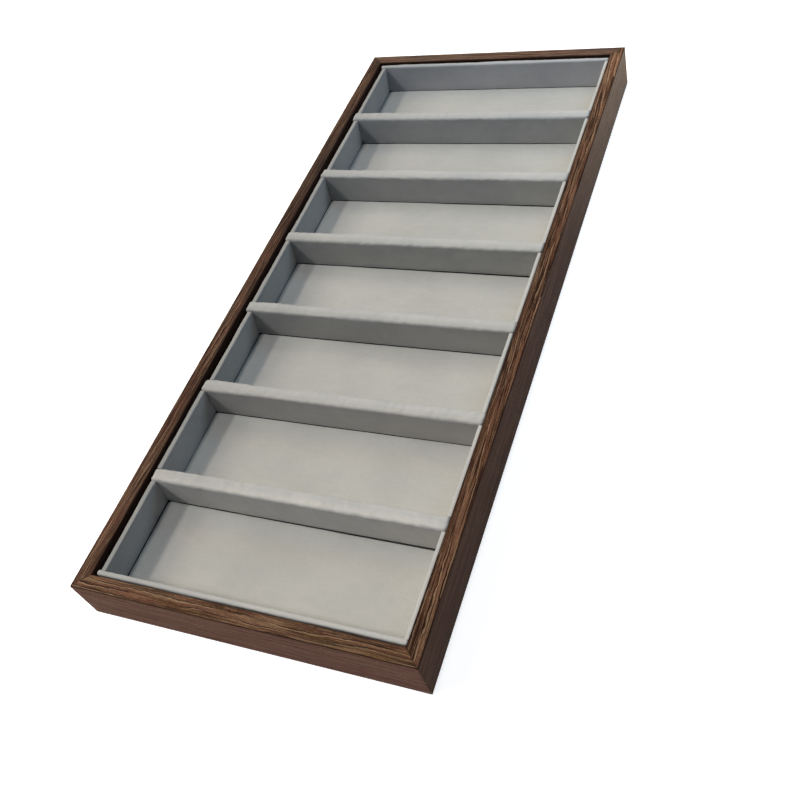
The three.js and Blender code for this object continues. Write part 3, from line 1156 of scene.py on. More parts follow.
@dataclass(frozen=True)
class PressedBoard:
    """Board, card or felt made of pressed fibre.

    Attributes:
        ground: Main colour.
        fleck: Colour of the odd fibres.
        scale: How fine the fibres are.
        roughness: Roughness of the face.
        relief: Height of the fibres.
        sheen: Strength of a fuzzy surface's sheen.
        fleck_share: How much of the odd fibres' colour shows.
    """

    ground: Colour
    fleck: Colour
    scale: float = 900.0
    roughness: float = 0.88
    relief: float = 0.06 * MM
    sheen: float = 0.0
    fleck_share: float = 0.7

    def material(self, effects: Effects, name: str) -> Material:
        """The finish of a board.

        Args:
            effects: The shared groups.
            name: The material's name.

        Returns:
            The material.
        """
        constants = {"Roughness": self.roughness, "Specular_IOR_Level": 0.2, "Sheen_Weight": self.sheen}
        material, nodes, shader = new_material(name, **constants)
        fibre = nodes.use(effects.fibre, {"Place": nodes.place(), "Scale": self.scale}).outputs
        colour = nodes.mix(nodes.times(fibre["Fleck"], self.fleck_share), self.ground, self.fleck)
        nodes.feed(shader.inputs["Base Color"], colour)
        add_bump(nodes, shader, fibre["Height"], self.relief)
        return material


@dataclass(frozen=True)
class SplineWood:
    """Pale close-grained wood of the tongues in the mitres, with upright grain.

    Attributes:
        ground: Main colour.
        line: Colour of its grain.
        line_share: How much of that shows.
        relief: Depth of its pores.
    """

    ground: Colour = (0.430, 0.275, 0.140)
    line: Colour = (0.270, 0.150, 0.065)
    line_share: float = 0.6
    relief: float = 0.03 * MM

    def material(self, effects: Effects) -> Material:
        """The finish of the tongues.

        Args:
            effects: The shared groups.

        Returns:
            The material.
        """
        material, nodes, shader = new_material("spline_wood", Roughness=0.75)
        mapping = {"Vector": nodes.place(), "Rotation": (0.0, QUARTER_TURN, 0.0)}
        upright = nodes.make("ShaderNodeMapping", mapping).outputs[0]
        inputs = {"Grain": upright, "Pitch": 0.6 * MM, "Stretch": 25.0, "Waver": 0.2 * MM}
        grain = nodes.use(effects.grain, inputs).outputs
        colour = nodes.mix(nodes.times(grain["Streak"], self.line_share), self.ground, self.line)
        nodes.feed(shader.inputs["Base Color"], colour)
        add_bump(nodes, shader, grain["Pore"], self.relief)
        return material


# What every piece needs.


def dress(piece: Piece, body: Body, slot: Slot, *nodes: str) -> None:
    """Puts a new piece on its body, in place of its CAD nodes.

    Args:
        piece: The piece.
        body: The body that it rides on.
        slot: Its material slot; not used.
        nodes: The CAD nodes that it stands for.
    """
    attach(piece, body.value)
    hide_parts(*nodes)
    LOG.info("%s: %d faces on %s", piece.name, len(piece.data.polygons), body.value)


def paint(node: str, material: Material) -> None:
    """Gives a CAD node that keeps its own shape its finish.

    Args:
        node: The node.
        material: Its finish.
    """
    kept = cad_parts[node]
    for place in kept.material_slots:
        place.material = material
    LOG.info("%s: kept, in %s", node, material.name)


@dataclass(frozen=True)
class BoxSize:
    """The box of a CAD node: its lowest and highest corners.

    Attributes:
        low: The lowest corner.
        high: The highest corner.
    """

    low: Vector
    high: Vector

    @classmethod
    def of(cls, node: str) -> "BoxSize":
        """The box of that node."""
        return cls(*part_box(node))

    @property
    def size(self) -> Vector:
        """Its size along X, Y and Z."""
        return self.high - self.low

    @property
    def foot(self) -> Point:
        """The middle of its underside."""
        middle = (self.low + self.high) / 2
        return (middle.x, middle.y, self.low.z)


def solid_piece(
    name: str,
    bar: Bar,
    foot: Point,
    material: Material,
    ripples: Sequence[Ripple] = (),
    angle: float = 0.0,
    reshape: Reshape = np.asarray,
    back: int = 0,
) -> Piece:
    """Makes a closed bar or sheet at its place.

    Args:
        name: The piece's name.
        bar: Its form.
        foot: The middle of its underside.
        material: Its finish.
        ripples: The unevenness of its upper face.
        angle: How far it is turned about Z.
        reshape: Moves the points of the form, before it is turned.
        back: 1 or -1 where the face at +Y or -Y, before the turn, is a card's back, and 0 for none.

    Returns:
        The new object.
    """
    grid = bar.grid()
    across, z = grid.points[..., 1], grid.points[..., 2]
    height = np.zeros(z.shape)
    for ripple in ripples:
        height += ripple.at(grid.points)
    height *= smooth(z, 0.0, bar.height)
    # Where the top's painted crest shading shows.
    marks = {"crest": smooth(z, bar.height - bar.top_radius, bar.height - CREST_DEPTH * bar.top_radius)}
    if back:
        marks["paper"] = paper_back(back * across, bar.height - z, bar.thickness / 2)
    lifted = grid.lifted(height)
    skin = Skin(name)
    skin.add_grid(replace(lifted, points=reshape(lifted.points)).placed(angle, foot), marks=marks)
    return skin.finish(material)


# The tray's sub-assemblies.


@dataclass(frozen=True)
class RailFrame:
    """The four mitred rails, with the tongues in their mitres.

    Attributes:
        rabbet_depth: Width of the step under each rail's inner edge, where the base lies.
        tongue: Thickness of the tongues in the mitres.
        outer_ease: Rounding of the upper outer arris.
        inner_ease: Rounding of the upper inner arris.
        foot_ease: Rounding of the lower outer arris.
        joint: Width of the glue line in a mitre.
        slot_clearance: Room round a tongue in its slot.
        step: Largest distance between neighbouring points.
        close_rows: Distances from a mitre at which rows of points lie closer.
        arris_width: Width of the dark line along the outer arris.
        ease_line: Width of the painted shade line along the inner arris.
        ease_share: How dark that painted shade line is beside the inner face.
        shade_width: Width of the band of painted shade beside it on the top.
        mitre_width: How far a mitre's dark line fades along the rail.
        lumps: The veneer's unevenness.
        calm_height: Height over the foot at which that unevenness is full.
    """

    rabbet_depth: float = 4.5 * MM
    tongue: float = 1.6 * MM
    outer_ease: float = 0.8 * MM
    inner_ease: float = 0.5 * MM
    foot_ease: float = 0.4 * MM
    joint: float = 0.1 * MM
    slot_clearance: float = 0.3 * MM
    step: float = 1.5 * MM
    close_rows: tuple[float, ...] = (0.15 * MM, 0.4 * MM, 0.8 * MM)
    arris_width: float = 0.45 * MM
    ease_line: float = 0.30 * MM
    ease_share: float = 0.7
    shade_width: float = 1.8 * MM
    mitre_width: float = 0.25 * MM
    lumps: Lumps = Lumps(0.05 * MM, 70 * MM, 9 * MM, 0.24)
    calm_height: float = 3 * MM

    def width(self) -> float:
        """The rails' width, from the near rail's box."""
        return BoxSize.of(RailSide.NEAR.node).size.y

    def section(self, height: float, rabbet_height: float) -> np.ndarray:
        """A rail's section, as the distance inwards from its outer face and the height.

        Args:
            height: The rail's height.
            rabbet_height: Height of the step under its inner edge.

        Returns:
            The closed outline's points, from the rabbet's foot round to it again.
        """
        width = self.width()
        shelf = width - self.rabbet_depth
        corners = [
            (shelf, 0.0),
            (0.0, 0.0),
            (0.0, height),
            (width, height),
            (width, rabbet_height),
            (shelf, rabbet_height),
            (shelf, 0.0),
        ]
        radii = [self.foot_ease, self.outer_ease, self.inner_ease, 0.0, 0.0]
        return spaced(rounded_path(corners, radii, arc_points=9), self.step)

    def rail_grid(self, section: np.ndarray, length: float, seed: int) -> tuple[Grid, Marks]:
        """A rail along X with its outer face on y = 0 and mitred ends.

        A point's X is its row's share of the half length, less the section's distance inwards,
        so that the last row lies in the mitre's plane.

        Args:
            section: The rail's section.
            length: Its outer length.
            seed: Start of its unevenness.

        Returns:
            The grid, and the marks of the arris, the top, the painted shade on it, the painted shade on the
            inner face and the mitre.
        """
        close = np.array(self.close_rows) / (length / 2)
        shares = np.linspace(-1.0, 1.0, round(length / self.step) + 1)
        shares = np.unique(np.concatenate([shares, 1.0 - close, close - 1.0]))
        half = length / 2 - self.joint / 2 - section[:, 0]
        points = np.empty((len(shares), len(section), 3))
        points[..., 0] = shares[:, None] * half[None, :]
        points[..., 1] = section[None, :, 0]
        points[..., 2] = section[None, :, 1]
        across = distances(section)
        grain = np.stack(np.broadcast_arrays(points[..., 0], across[None, :]), axis=-1)
        normals = unit(np.cross(np.gradient(points, axis=0), np.gradient(points, axis=1)))
        width, height = section.max(axis=0)
        arris = across[np.argmin(np.hypot(section[:, 0], section[:, 1] - height))]
        ease = across[np.argmin(np.hypot(section[:, 0] - width, section[:, 1] - height))]
        # Painted shade: all of the inner face, and a line along the inner arris.
        on_inner_face = section[:, 0] > width - TINY
        inner = np.where(on_inner_face, 1.0, self.ease_share * bell(across - ease, self.ease_line))
        marks = {
            "arris": bell(across - arris, self.arris_width)[None, :],
            "top": smooth(section[:, 1], height - self.outer_ease, height)[None, :],
            # Painted shade on the top beside the inner arris.
            "shade": bell(across - ease, self.shade_width)[None, :],
            "inner": inner[None, :],
            "mitre": np.exp(-(1.0 - np.abs(shares)) * length / 2 / self.mitre_width)[:, None],
        }
        uneven = sum(ripple.at(points) for ripple in self.lumps.ripples(seed))
        calm = (1.0 - marks["mitre"]) * smooth(points[..., 2], 0.0, self.calm_height)
        return Grid(points, grain, normals).lifted(uneven * calm), marks

    def add_end(
        self,
        skin: Skin,
        ring: np.ndarray,
        places: np.ndarray,
        section: np.ndarray,
        side: int,
        slot: tuple[float, float, float, float],
        depth: float,
    ) -> None:
        """Closes a rail's end in the mitre's plane, with the slot for a tongue.

        Args:
            skin: The rail's skin.
            ring: Numbers of the points round the end.
            places: The places of those points.
            section: The rail's section.
            side: 1 for the end at +X and -1 for the other.
            slot: The slot's least and greatest distance inwards, and its least and greatest height.
            depth: How deep the slot goes, square to the mitre.
        """
        near, far, low, high = slot
        hole = np.array([(near, low), (far, low), (far, high), (near, high)])
        outline = section[:-1]
        end_at = np.abs(places[:-1, 0]).max() + outline[:, 0].min()
        mouth = np.column_stack([side * (end_at - hole[:, 0]), hole])
        into = depth * math.sqrt(0.5) * np.array([-side, -1.0, 0.0])
        mouth_numbers = skin.add_points(mouth)
        floor_numbers = skin.add_points(mouth + into)
        flat = [[(*point, 0.0) for point in loop.tolist()] for loop in (outline, hole)]
        numbers = np.concatenate([ring[:-1], mouth_numbers])
        shapes = np.concatenate([outline, hole])
        triangles = np.array(tessellate_polygon(flat))
        skin.add_faces(numbers[triangles], shapes[triangles])
        turns = np.arange(4)
        following = (turns + 1) % 4
        rim = [mouth_numbers[turns], mouth_numbers[following]]
        rim += [floor_numbers[following], floor_numbers[turns]]
        grain = [hole[turns], hole[following], hole[following], hole[turns]]
        skin.add_faces(np.stack(rim, axis=1), np.stack(grain, axis=1))
        skin.add_faces(floor_numbers[None, :], hole[None])

    def build_rail(self, side: RailSide, material: Material) -> None:
        """Makes one rail and puts it in its place.

        Args:
            side: Which rail.
            material: Its finish.
        """
        box = BoxSize.of(side.node)
        spline = BoxSize.of("mitre_spline_near_left")
        base = BoxSize.of("base_panel")
        middle = self.width() / 2
        long_side = side in (RailSide.RIGHT, RailSide.LEFT)
        length = (box.size.y if long_side else box.size.x) + self.joint
        reach = BoxSize.of(RailSide.RIGHT.node).high.x if long_side else BoxSize.of(RailSide.FAR.node).high.y
        section = self.section(box.size.z, base.high.z + self.joint)
        grid, marks = self.rail_grid(section, length, RAIL_SEED + side.value)
        skin = Skin(f"{side.node}_veneered")
        numbers = skin.add_grid(grid, marks=marks)
        half = (self.tongue / 2 + self.slot_clearance) / math.sqrt(2)
        low = spline.low.z - self.slot_clearance
        high = spline.high.z + self.slot_clearance
        depth = (spline.size.x * math.sqrt(2) - self.tongue) / 2 + self.slot_clearance
        for row, hand in ((0, -1), (-1, 1)):
            slot = (middle - half, middle + half, low, high)
            self.add_end(skin, numbers[row], grid.points[row], section, hand, slot, depth)
        angle = side.value * QUARTER_TURN
        place = turned(np.array([0.0, -reach, 0.0]), angle, ORIGIN)
        skin.points = [turned(part, angle, tuple(place)) for part in skin.points]
        dress(skin.finish(material), Body.FRAME, Slot.RAIL, side.node)

    def build(self, effects: Effects) -> None:
        """Makes the rails and finishes the tongues.

        Args:
            effects: The shared groups.
        """
        for side, wood in rail_woods().items():
            self.build_rail(side, wood.material(effects, f"veneer_{side.name.lower()}"))
        pale = SplineWood().material(effects)
        for end in End:
            for hand in Hand:
                paint(f"mitre_spline_{end.value}_{hand.value}", pale)


@dataclass(frozen=True)
class TrayBase:
    """The base panel in the rabbet and the felt under it.

    Attributes:
        panel_ease: Rounding of the panel's edges.
        wood: Finish of the panel.
        felt_corner: Rounding of the felt's corners.
        felt_edge: Rounding of the felt's edges.
        cloth: Finish of the felt.
        uneven: The felt's unevenness.
    """

    panel_ease: float = 0.35 * MM
    wood: PressedBoard = PressedBoard((0.235, 0.165, 0.098), (0.150, 0.098, 0.055), 700.0, 0.8, 0.04 * MM)
    felt_corner: float = 3.0 * MM
    felt_edge: float = 0.2 * MM
    cloth: PressedBoard = PressedBoard((0.030, 0.026, 0.024), (0.075, 0.068, 0.062), 1500.0, 0.98,
                                       0.12 * MM, 0.25)
    uneven: Ripple = Ripple(91, 30 * MM, 0.03 * MM)

    def build(self, effects: Effects) -> None:
        """Makes both pieces.

        Args:
            effects: The shared groups.
        """
        panel = BoxSize.of("base_panel")
        ease = self.panel_ease
        bar = Bar(*panel.size, ease, ease, end_radius=ease, step=8 * MM, arc_points=4)
        board = self.wood.material(effects, "base_board")
        piece = solid_piece("base_panel_board", bar, panel.foot, board)
        dress(piece, Body.FRAME, Slot.BASE, "base_panel")

        felt = BoxSize.of("underside_felt")
        ease = self.felt_edge
        bar = Bar(*felt.size, ease, ease, plan_radius=self.felt_corner, step=4 * MM, arc_points=4)
        soft = self.cloth.material(effects, "felt")
        piece = solid_piece("underside_felt_sheet", bar, felt.foot, soft, (self.uneven,))
        dress(piece, Body.FRAME, Slot.FELT, "underside_felt")


@dataclass(frozen=True)
class PaddedWall:
    """A velvet cover over a board core, across the tray.

    Attributes:
        top_radius: Rounding of the soft top.
        end_radius: Rounding of the ends.
        cover: Thickness of the velvet and its backing.
        crown: How far the middle of each face swells.
        crown_reach: Distance from an end at which that swelling is full.
        pucker: Height of the small folds by the ends.
        pucker_spacing: Distance from one of those folds to the next.
        pucker_start: Distances from the end between which they set in.
        pucker_reach: How far they run in from there.
        lumps: Unevenness all over.
        tuft: Height of the quick unevenness along the top.
        tuft_length: Wavelength of that.
        fold: Height of the folded corner on each end.
        fold_drop: How far below the top its lines meet, in thicknesses.
        fold_slope: Slope of its lines.
        fold_edge: Half the width of its edge.
        fold_depth: How far in from the end it fades.
        calm_height: Height over the foot at which all unevenness is full.
        crest_span: How far below the top the painted crest shading sets in and is full, in top radii.
        ridge: Where across the top that painted shading is full and how far it fades, in thicknesses.
        ridge_share: How much of it fades.
        set_back: How far the face at -Y stands behind the solid's, and the wall is thinner.
        back: 1 or -1 where the face at +Y or -Y is the liner's outside, and 0 for neither.
    """

    top_radius: float
    end_radius: float
    cover: float = 0.6 * MM
    crown: float = 0.20 * MM
    crown_reach: float = 14 * MM
    pucker: float = 0.10 * MM
    pucker_spacing: float = 4.6 * MM
    pucker_start: Span = (0.2 * MM, 1.5 * MM)
    pucker_reach: float = 7.0 * MM
    lumps: Lumps = Lumps(0.13 * MM, 38 * MM, 11 * MM, 0.45)
    tuft: float = 0.09 * MM
    tuft_length: float = 4 * MM
    fold: float = 0.16 * MM
    fold_drop: float = 1.1
    fold_slope: float = 1.3
    fold_edge: float = 0.3 * MM
    fold_depth: float = 0.4 * MM
    calm_height: float = 2.5 * MM
    crest_span: Span = (1.5, 0.4)
    ridge: Span = (0.20, 0.34)
    ridge_share: float = 0.8
    set_back: float = 0.0
    back: int = 0

    def relief(self, bar: Bar, grid: Grid, seed: int) -> np.ndarray:
        """How far each point of the cover stands out.

        The sides swell as half a sine wave from foot to top. Slow and quick ripples go all over,
        and folds fade with the distance from the nearer end. On the end faces the fabric's
        upper flap lies over the two side flaps, along two slanting lines.

        Args:
            bar: The wall's plain form.
            grid: Its surface.
            seed: Start of its unevenness.

        Returns:
            The heights, rows by columns.
        """
        points = grid.points
        z = points[..., 2]
        from_end = bar.length / 2 - np.abs(points[..., 0])
        rise = np.sin(np.clip(z / bar.height, 0.0, 1.0) * math.pi)
        height = self.crown * rise * smooth(from_end, 0.0, self.crown_reach)
        for ripple in self.lumps.ripples(seed):
            height += ripple.at(points)
        near_top = smooth(z, bar.height - 2 * self.top_radius, bar.height - self.top_radius / 2)
        height += near_top * Ripple(seed + 2, self.tuft_length, self.tuft).at(points)
        waves = np.cos(grid.grain[..., 1] * 2 * math.pi / self.pucker_spacing + seed)
        waves *= smooth(from_end, *self.pucker_start)
        height += self.pucker * waves * np.exp(-np.maximum(from_end, 0.0) / self.pucker_reach)
        from_face = bar.thickness / 2 - np.abs(points[..., 1])
        slant = z - (bar.height - self.fold_drop * bar.thickness) - self.fold_slope * from_face
        on_end = smooth(-from_end, -self.fold_depth, 0.0)
        height += on_end * self.fold * (smooth(slant, -self.fold_edge, self.fold_edge) - 1.0)
        return height * smooth(z, 0.0, self.calm_height)

    def marks(self, bar: Bar, grid: Grid) -> Marks:
        """Where the painted crest shading and the paper on the back show.

        Across the top the painted shading is a bell curve around its ridge, over an even share.

        Args:
            bar: The wall's plain form.
            grid: Its surface.

        Returns:
            The values of both marks, rows by columns.
        """
        across, z = grid.points[..., 1], grid.points[..., 2]
        start, full = self.crest_span
        middle, spread = self.ridge
        # The painted crest shading, strongest along its ridge.
        crest = smooth(z, bar.height - start * self.top_radius, bar.height - full * self.top_radius)
        crest *= 1.0 - self.ridge_share + self.ridge_share * bell(across / bar.thickness - middle, spread)
        paper = paper_back(self.back * across, bar.height - z, bar.thickness / 2)
        return {"crest": crest, "paper": paper}

    def build(self, name: str, node: str, material: Material, seed: int) -> None:
        """Makes the cover as a skin of its own thickness, open at the foot for the core.

        Args:
            name: The piece's name.
            node: The CAD node that it stands for.
            material: Its finish.
            seed: Start of its unevenness.
        """
        box = BoxSize.of(node)
        width, depth, height = box.size
        bar = Bar(width, depth - self.set_back, height, self.top_radius, plan_radius=self.end_radius,
                  end_radius=self.end_radius, step=1.2 * MM, arc_points=8, open_foot=True)
        foot = (box.foot[0], box.foot[1] + self.set_back / 2, box.foot[2])
        grid = bar.grid()
        inner = grid.lifted(np.full(grid.points.shape[:2], -self.cover))
        inner.points[..., 2] = np.where(grid.points[..., 2] <= TINY, 0.0, inner.points[..., 2])
        outer = grid.lifted(self.relief(bar, grid, seed))
        skin = Skin(name)
        outside = skin.add_grid(outer.placed(0.0, foot), marks=self.marks(bar, grid))
        inside = skin.add_grid(inner.placed(0.0, foot), flip=True)
        for column in (0, -1):
            rim = np.stack([outside[:, column], inside[:, column]], axis=1)
            places = np.stack([grid.grain[:, column], grid.grain[:, column] + self.cover], axis=1)
            skin.add_faces(cell_corners(rim), cell_corners(places))
        piece = skin.finish(material)
        dress(piece, Body.LINER, Slot.VELVET, node)


@dataclass(frozen=True)
class SideStrips:
    """The short velvet-covered cards along one side of the tray, each glued a little off its line.

    Attributes:
        hand: The tray's side that they line.
        thickness: Thickness of a card with its velvet.
        shifts: How far each foot stands in from the solid's outer face, from the near pocket on.
        leans: How far each top leans in over its foot.
        top_radius: Rounding of the top.
        end_radius: Rounding of the ends.
        lumps: The strips' unevenness.
        pile: How far the velvet's pile reaches past the solid at each end.
    """

    hand: Hand
    thickness: float
    shifts: tuple[float, ...]
    leans: tuple[float, ...]
    top_radius: float = 0.7 * MM
    end_radius: float = 0.4 * MM
    lumps: Lumps = Lumps(0.07 * MM, 30 * MM, 8 * MM, 0.4, 5)
    pile: float = 0.22 * MM

    def build(self, number: int, material: Material) -> None:
        """Makes one strip.

        Args:
            number: Its pocket, from the near end.
            material: Its finish.
        """
        node = f"side_strip_{self.hand.value}_{number}"
        box = BoxSize.of(node)
        outward = self.hand.outward
        lean = self.leans[number - 1]
        bar = Bar(box.size.y + 2 * self.pile, self.thickness, box.size.z, self.top_radius,
                  plan_radius=self.end_radius, end_radius=self.end_radius, step=1.2 * MM, arc_points=6)

        def leaned(points: np.ndarray) -> np.ndarray:
            """The points moved inwards by their share of the lean, which grows with the height."""
            return points + points[..., 2:] * np.array([0.0, outward * lean / bar.height, 0.0])

        outer_face = box.high.x if outward > 0 else box.low.x
        inset = self.thickness / 2 + self.shifts[number - 1]
        foot = (outer_face - outward * inset, box.foot[1], box.foot[2])
        ripples = self.lumps.ripples(STRIP_SEED + STRIP_SEED_STEP * number + outward)
        name = f"{node}_velvet"
        piece = solid_piece(name, bar, foot, material, ripples, QUARTER_TURN, leaned, back=-outward)
        dress(piece, Body.LINER, Slot.VELVET, node)


LEFT_STRIPS = SideStrips(
    Hand.LEFT,
    thickness=3.2 * MM,
    shifts=(-0.2 * MM, -0.2 * MM, 0.6 * MM, 0.0, 0.4 * MM, 0.6 * MM, -0.2 * MM),
    leans=(2.35 * MM, 1.55 * MM, 2.65 * MM, 2.35 * MM, 1.35 * MM, 2.25 * MM, 2.45 * MM),
)
RIGHT_STRIPS = SideStrips(
    Hand.RIGHT,
    thickness=2.4 * MM,
    shifts=(0.0, 0.0, 0.0, 0.05 * MM, 0.0, 0.0, 0.0),
    leans=(0.1 * MM, 0.0, 0.8 * MM, 0.3 * MM, 0.2 * MM, 0.1 * MM, 0.0),
)


@dataclass(frozen=True)
class FloorPad:
    """The velvet on card that lies on a pocket's floor, cut and laid by hand.

    Attributes:
        corner: Rounding of its corners.
        edge: Rounding of its edges.
        lumps: Its unevenness.
        left_reach: How far each pad reaches left past its solid, from the near pocket on.
        far_gaps: Gap between each pad and the wall beyond it, at its left and right end.
    """

    corner: float = 1.5 * MM
    edge: float = 0.25 * MM
    lumps: Lumps = Lumps(0.05 * MM, 45 * MM, 12 * MM, 0.3, 20)
    left_reach: tuple[float, ...] = tuple(reach * MM for reach in (-0.1, 0.5, -0.6, 0.2, -0.5, -0.4, 0.3))
    far_gaps: tuple[Span, ...] = (
        (0.3 * MM, 1.1 * MM),
        (0.5 * MM, 0.25 * MM),
        (0.4 * MM, 0.6 * MM),
        (0.4 * MM, 1.1 * MM),
        (0.3 * MM, 0.7 * MM),
        (0.4 * MM, 0.3 * MM),
        (0.25 * MM, 0.3 * MM),
    )

    def build(self, number: int, material: Material) -> None:
        """Makes one pad.

        Args:
            number: Its pocket, from the near end.
            material: Its finish.
        """
        node = f"floor_pad_{number}"
        box = BoxSize.of(node)
        wall = "end_wall_cover_far" if number == POCKET_COUNT else f"divider_cover_{number}"
        room = BoxSize.of(wall).low.y - box.high.y
        bar = Bar(*box.size, self.edge, self.edge, plan_radius=self.corner, step=2 * MM, arc_points=4)

        def fitted(points: np.ndarray) -> np.ndarray:
            """Stretches the pad to its own left and far edges, each point by its share of the way.

            Args:
                points: The pad's points.

            Returns:
                The moved points.
            """
            shares = np.clip(points / np.array([-bar.length / 2, bar.thickness / 2, 1.0]), 0.0, 1.0)
            gap = np.interp(points[..., 0], [-bar.length / 2, bar.length / 2], self.far_gaps[number - 1])
            moved = points.copy()
            moved[..., 0] -= shares[..., 0] * self.left_reach[number - 1]
            moved[..., 1] += shares[..., 1] * (room - gap)
            return moved

        name = f"{node}_velvet"
        ripples = self.lumps.ripples(PAD_SEED + number)
        piece = solid_piece(name, bar, box.foot, material, ripples, reshape=fitted)
        dress(piece, Body.LINER, Slot.FLOOR_VELVET, node)


@dataclass(frozen=True)
class Liner:
    """The loose liner: its board, the padded walls, the side strips and the floor pads.

    Attributes:
        divider: Form of the six dividers.
        end_walls: Form of the wall at each end.
        strips: Form of the side strips on each side.
        pad: Form of the floor pads.
        velvet: Finish of the walls, painted lighter towards the tray's right and with painted shade in the
            crease at the foot.
        painted_crest_shadings: Painted light and shade on the tops of the dividers and of the near and far
            end walls, as shares of their colour.
        faces: Painted light and shade: tint of the upright faces of each divider, from the near one on, and
            of the end walls.
        strip_velvets: Finish of the strips on each side, whose tops are painted in shade on the left and
            painted lighter on the right.
        floor_velvet: Finish of the pads.
        core: Finish of the boards in the walls.
        card: Finish of the liner's own board, dark partly as painted shade in the gaps between the pads and
            the walls.
        card_ease: Rounding of that board's edges.
    """

    divider: PaddedWall = PaddedWall(1.6 * MM, 1.8 * MM)
    end_walls: tuple[tuple[End, PaddedWall], ...] = (
        (End.NEAR, PaddedWall(0.9 * MM, 1.0 * MM, crown=0.05 * MM, tuft=0.03 * MM, set_back=0.65 * MM,
                              lumps=Lumps(0.07 * MM, 38 * MM, 11 * MM, 0.45), back=-1)),
        (End.FAR, PaddedWall(1.4 * MM, 1.0 * MM, crown=0.1 * MM, tuft=0.04 * MM,
                             lumps=Lumps(0.09 * MM, 38 * MM, 11 * MM, 0.45), back=1)),
    )
    strips: tuple[SideStrips, ...] = (LEFT_STRIPS, RIGHT_STRIPS)
    pad: FloorPad = FloorPad()
    # The walls' velvet, with painted light brighter to the right and painted shade at the foot.
    velvet: Velvet = Velvet(foot=7.1 * MM, painted_light_sweep=(0.91, 1.05))
    # Painted light and shade on the tops of the dividers and end walls.
    painted_crest_shadings: tuple[float, ...] = (1.04,) * DIVIDER_COUNT + (1.03, 0.84)
    # Painted light and shade on the upright faces: brighter or darker, and cooler further away.
    faces: tuple[Colour, ...] = (
        (1.21, 1.18, 1.15),
        (0.93, 0.90, 0.88),
        (0.84, 0.83, 0.82),
        (0.86, 0.86, 0.85),
        (0.87, 0.88, 0.89),
        (0.87, 0.89, 0.93),
        (1.00, 1.00, 1.00),
        (1.03, 1.06, 1.16),
    )
    # The left strips' tops are painted in shade and the right strips' tops painted lighter; both have
    # painted shade at the foot.
    strip_velvets: tuple[Velvet, ...] = tuple(Velvet(crest=crest, foot=7.1 * MM) for crest in (0.70, 1.10))
    floor_velvet: Velvet = Velvet(light=(0.455, 0.440, 0.400), shade=(0.410, 0.398, 0.365))
    core: PressedBoard = PressedBoard((0.330, 0.255, 0.165), (0.210, 0.150, 0.090))
    # The board is dark partly as painted shade, where it shows in the gaps between the pads and the walls.
    card: PressedBoard = PressedBoard((0.030, 0.028, 0.026), (0.050, 0.046, 0.042), 800.0)
    card_ease: float = 0.2 * MM

    def build(self, effects: Effects) -> None:
        """Makes every piece of the liner.

        Args:
            effects: The shared groups.
        """
        self.build_board(effects)
        core = self.core.material(effects, "core_board")
        walls = [(f"divider_{number}", self.divider) for number in range(1, DIVIDER_COUNT + 1)]
        walls += [(f"end_wall_{end.value}", wall) for end, wall in self.end_walls]
        for place, ((piece, wall), face, crest) in enumerate(zip(walls, self.faces, self.painted_crest_shadings)):
            word, _, which = piece.rpartition("_")
            paint(f"{word}_core_{which}", core)
            # Each wall's velvet gets its own painted light and shade on its faces and top.
            velvet = replace(self.velvet, face=face, crest=crest)
            node = f"{word}_cover_{which}"
            finish = velvet.material(effects, f"velvet_{piece}", seed=3.0)
            wall.build(f"{node}_velvet", node, finish, WALL_SEED + WALL_SEED_STEP * place)
        pad_finish = self.floor_velvet.material(effects, "velvet_floor", seed=8.0)
        for number in range(1, POCKET_COUNT + 1):
            self.pad.build(number, pad_finish)
        for strips, velvet in zip(self.strips, self.strip_velvets):
            finish = velvet.material(effects, f"velvet_strips_{strips.hand.value}", seed=5.0)
            for number in range(1, POCKET_COUNT + 1):
                strips.build(number, finish)

    def build_board(self, effects: Effects) -> None:
        """Makes the dark board under the liner.

        Args:
            effects: The shared groups.
        """
        box = BoxSize.of("liner_board")
        ease = self.card_ease
        bar = Bar(*box.size, ease, ease, end_radius=ease, step=8 * MM, arc_points=3)
        piece = solid_piece("liner_board_card", bar, box.foot, self.card.material(effects, "liner_board"))
        dress(piece, Body.LINER, Slot.LINER_BOARD, "liner_board")


# The studio round the tray.


def hang(light: bpy.types.Light, place: Vector) -> None:
    """Puts a light at its place and points it at the tray's middle.

    Args:
        light: The light.
        place: Where it hangs.
    """
    holder = bpy.data.objects.new(light.name, light)
    holder.location = place
    holder.rotation_mode = "QUATERNION"
    holder.rotation_quaternion = (-place).to_track_quat("-Z", "Y")
    bpy.context.scene.collection.objects.link(holder)


@dataclass(frozen=True)
class Lamp:
    """A far soft lamp, whose light comes from one part of the sky.

    Attributes:
        name: Its name.
        towards: Direction from the tray to the lamp.
        spread: Angle that the lamp fills, in degrees.
        strength: Light that it sheds on a surface that faces it.
        colour: Its light's colour.
    """

    name: str
    towards: Point
    spread: float
    strength: float
    colour: Colour

    def build(self) -> None:
        """Hangs the lamp."""
        light = bpy.data.lights.new(self.name, "SUN")
        light.angle = math.radians(self.spread)
        light.energy = self.strength
        light.color = self.colour
        hang(light, Vector(self.towards).normalized())


@dataclass(frozen=True)
class NearLamp:
    """A round soft lamp close to the tray, so that what lies nearer to it is brighter.

    Attributes:
        name: Its name.
        place: Where it hangs.
        size: Its diameter.
        power: Its power in watts.
        colour: Its light's colour.
    """

    name: str
    place: Point
    size: float
    power: float
    colour: Colour

    def build(self) -> None:
        """Hangs the lamp."""
        light = bpy.data.lights.new(self.name, "AREA")
        light.shape = "DISK"
        light.size = self.size
        light.energy = self.power
        light.color = self.colour
        hang(light, Vector(self.place))


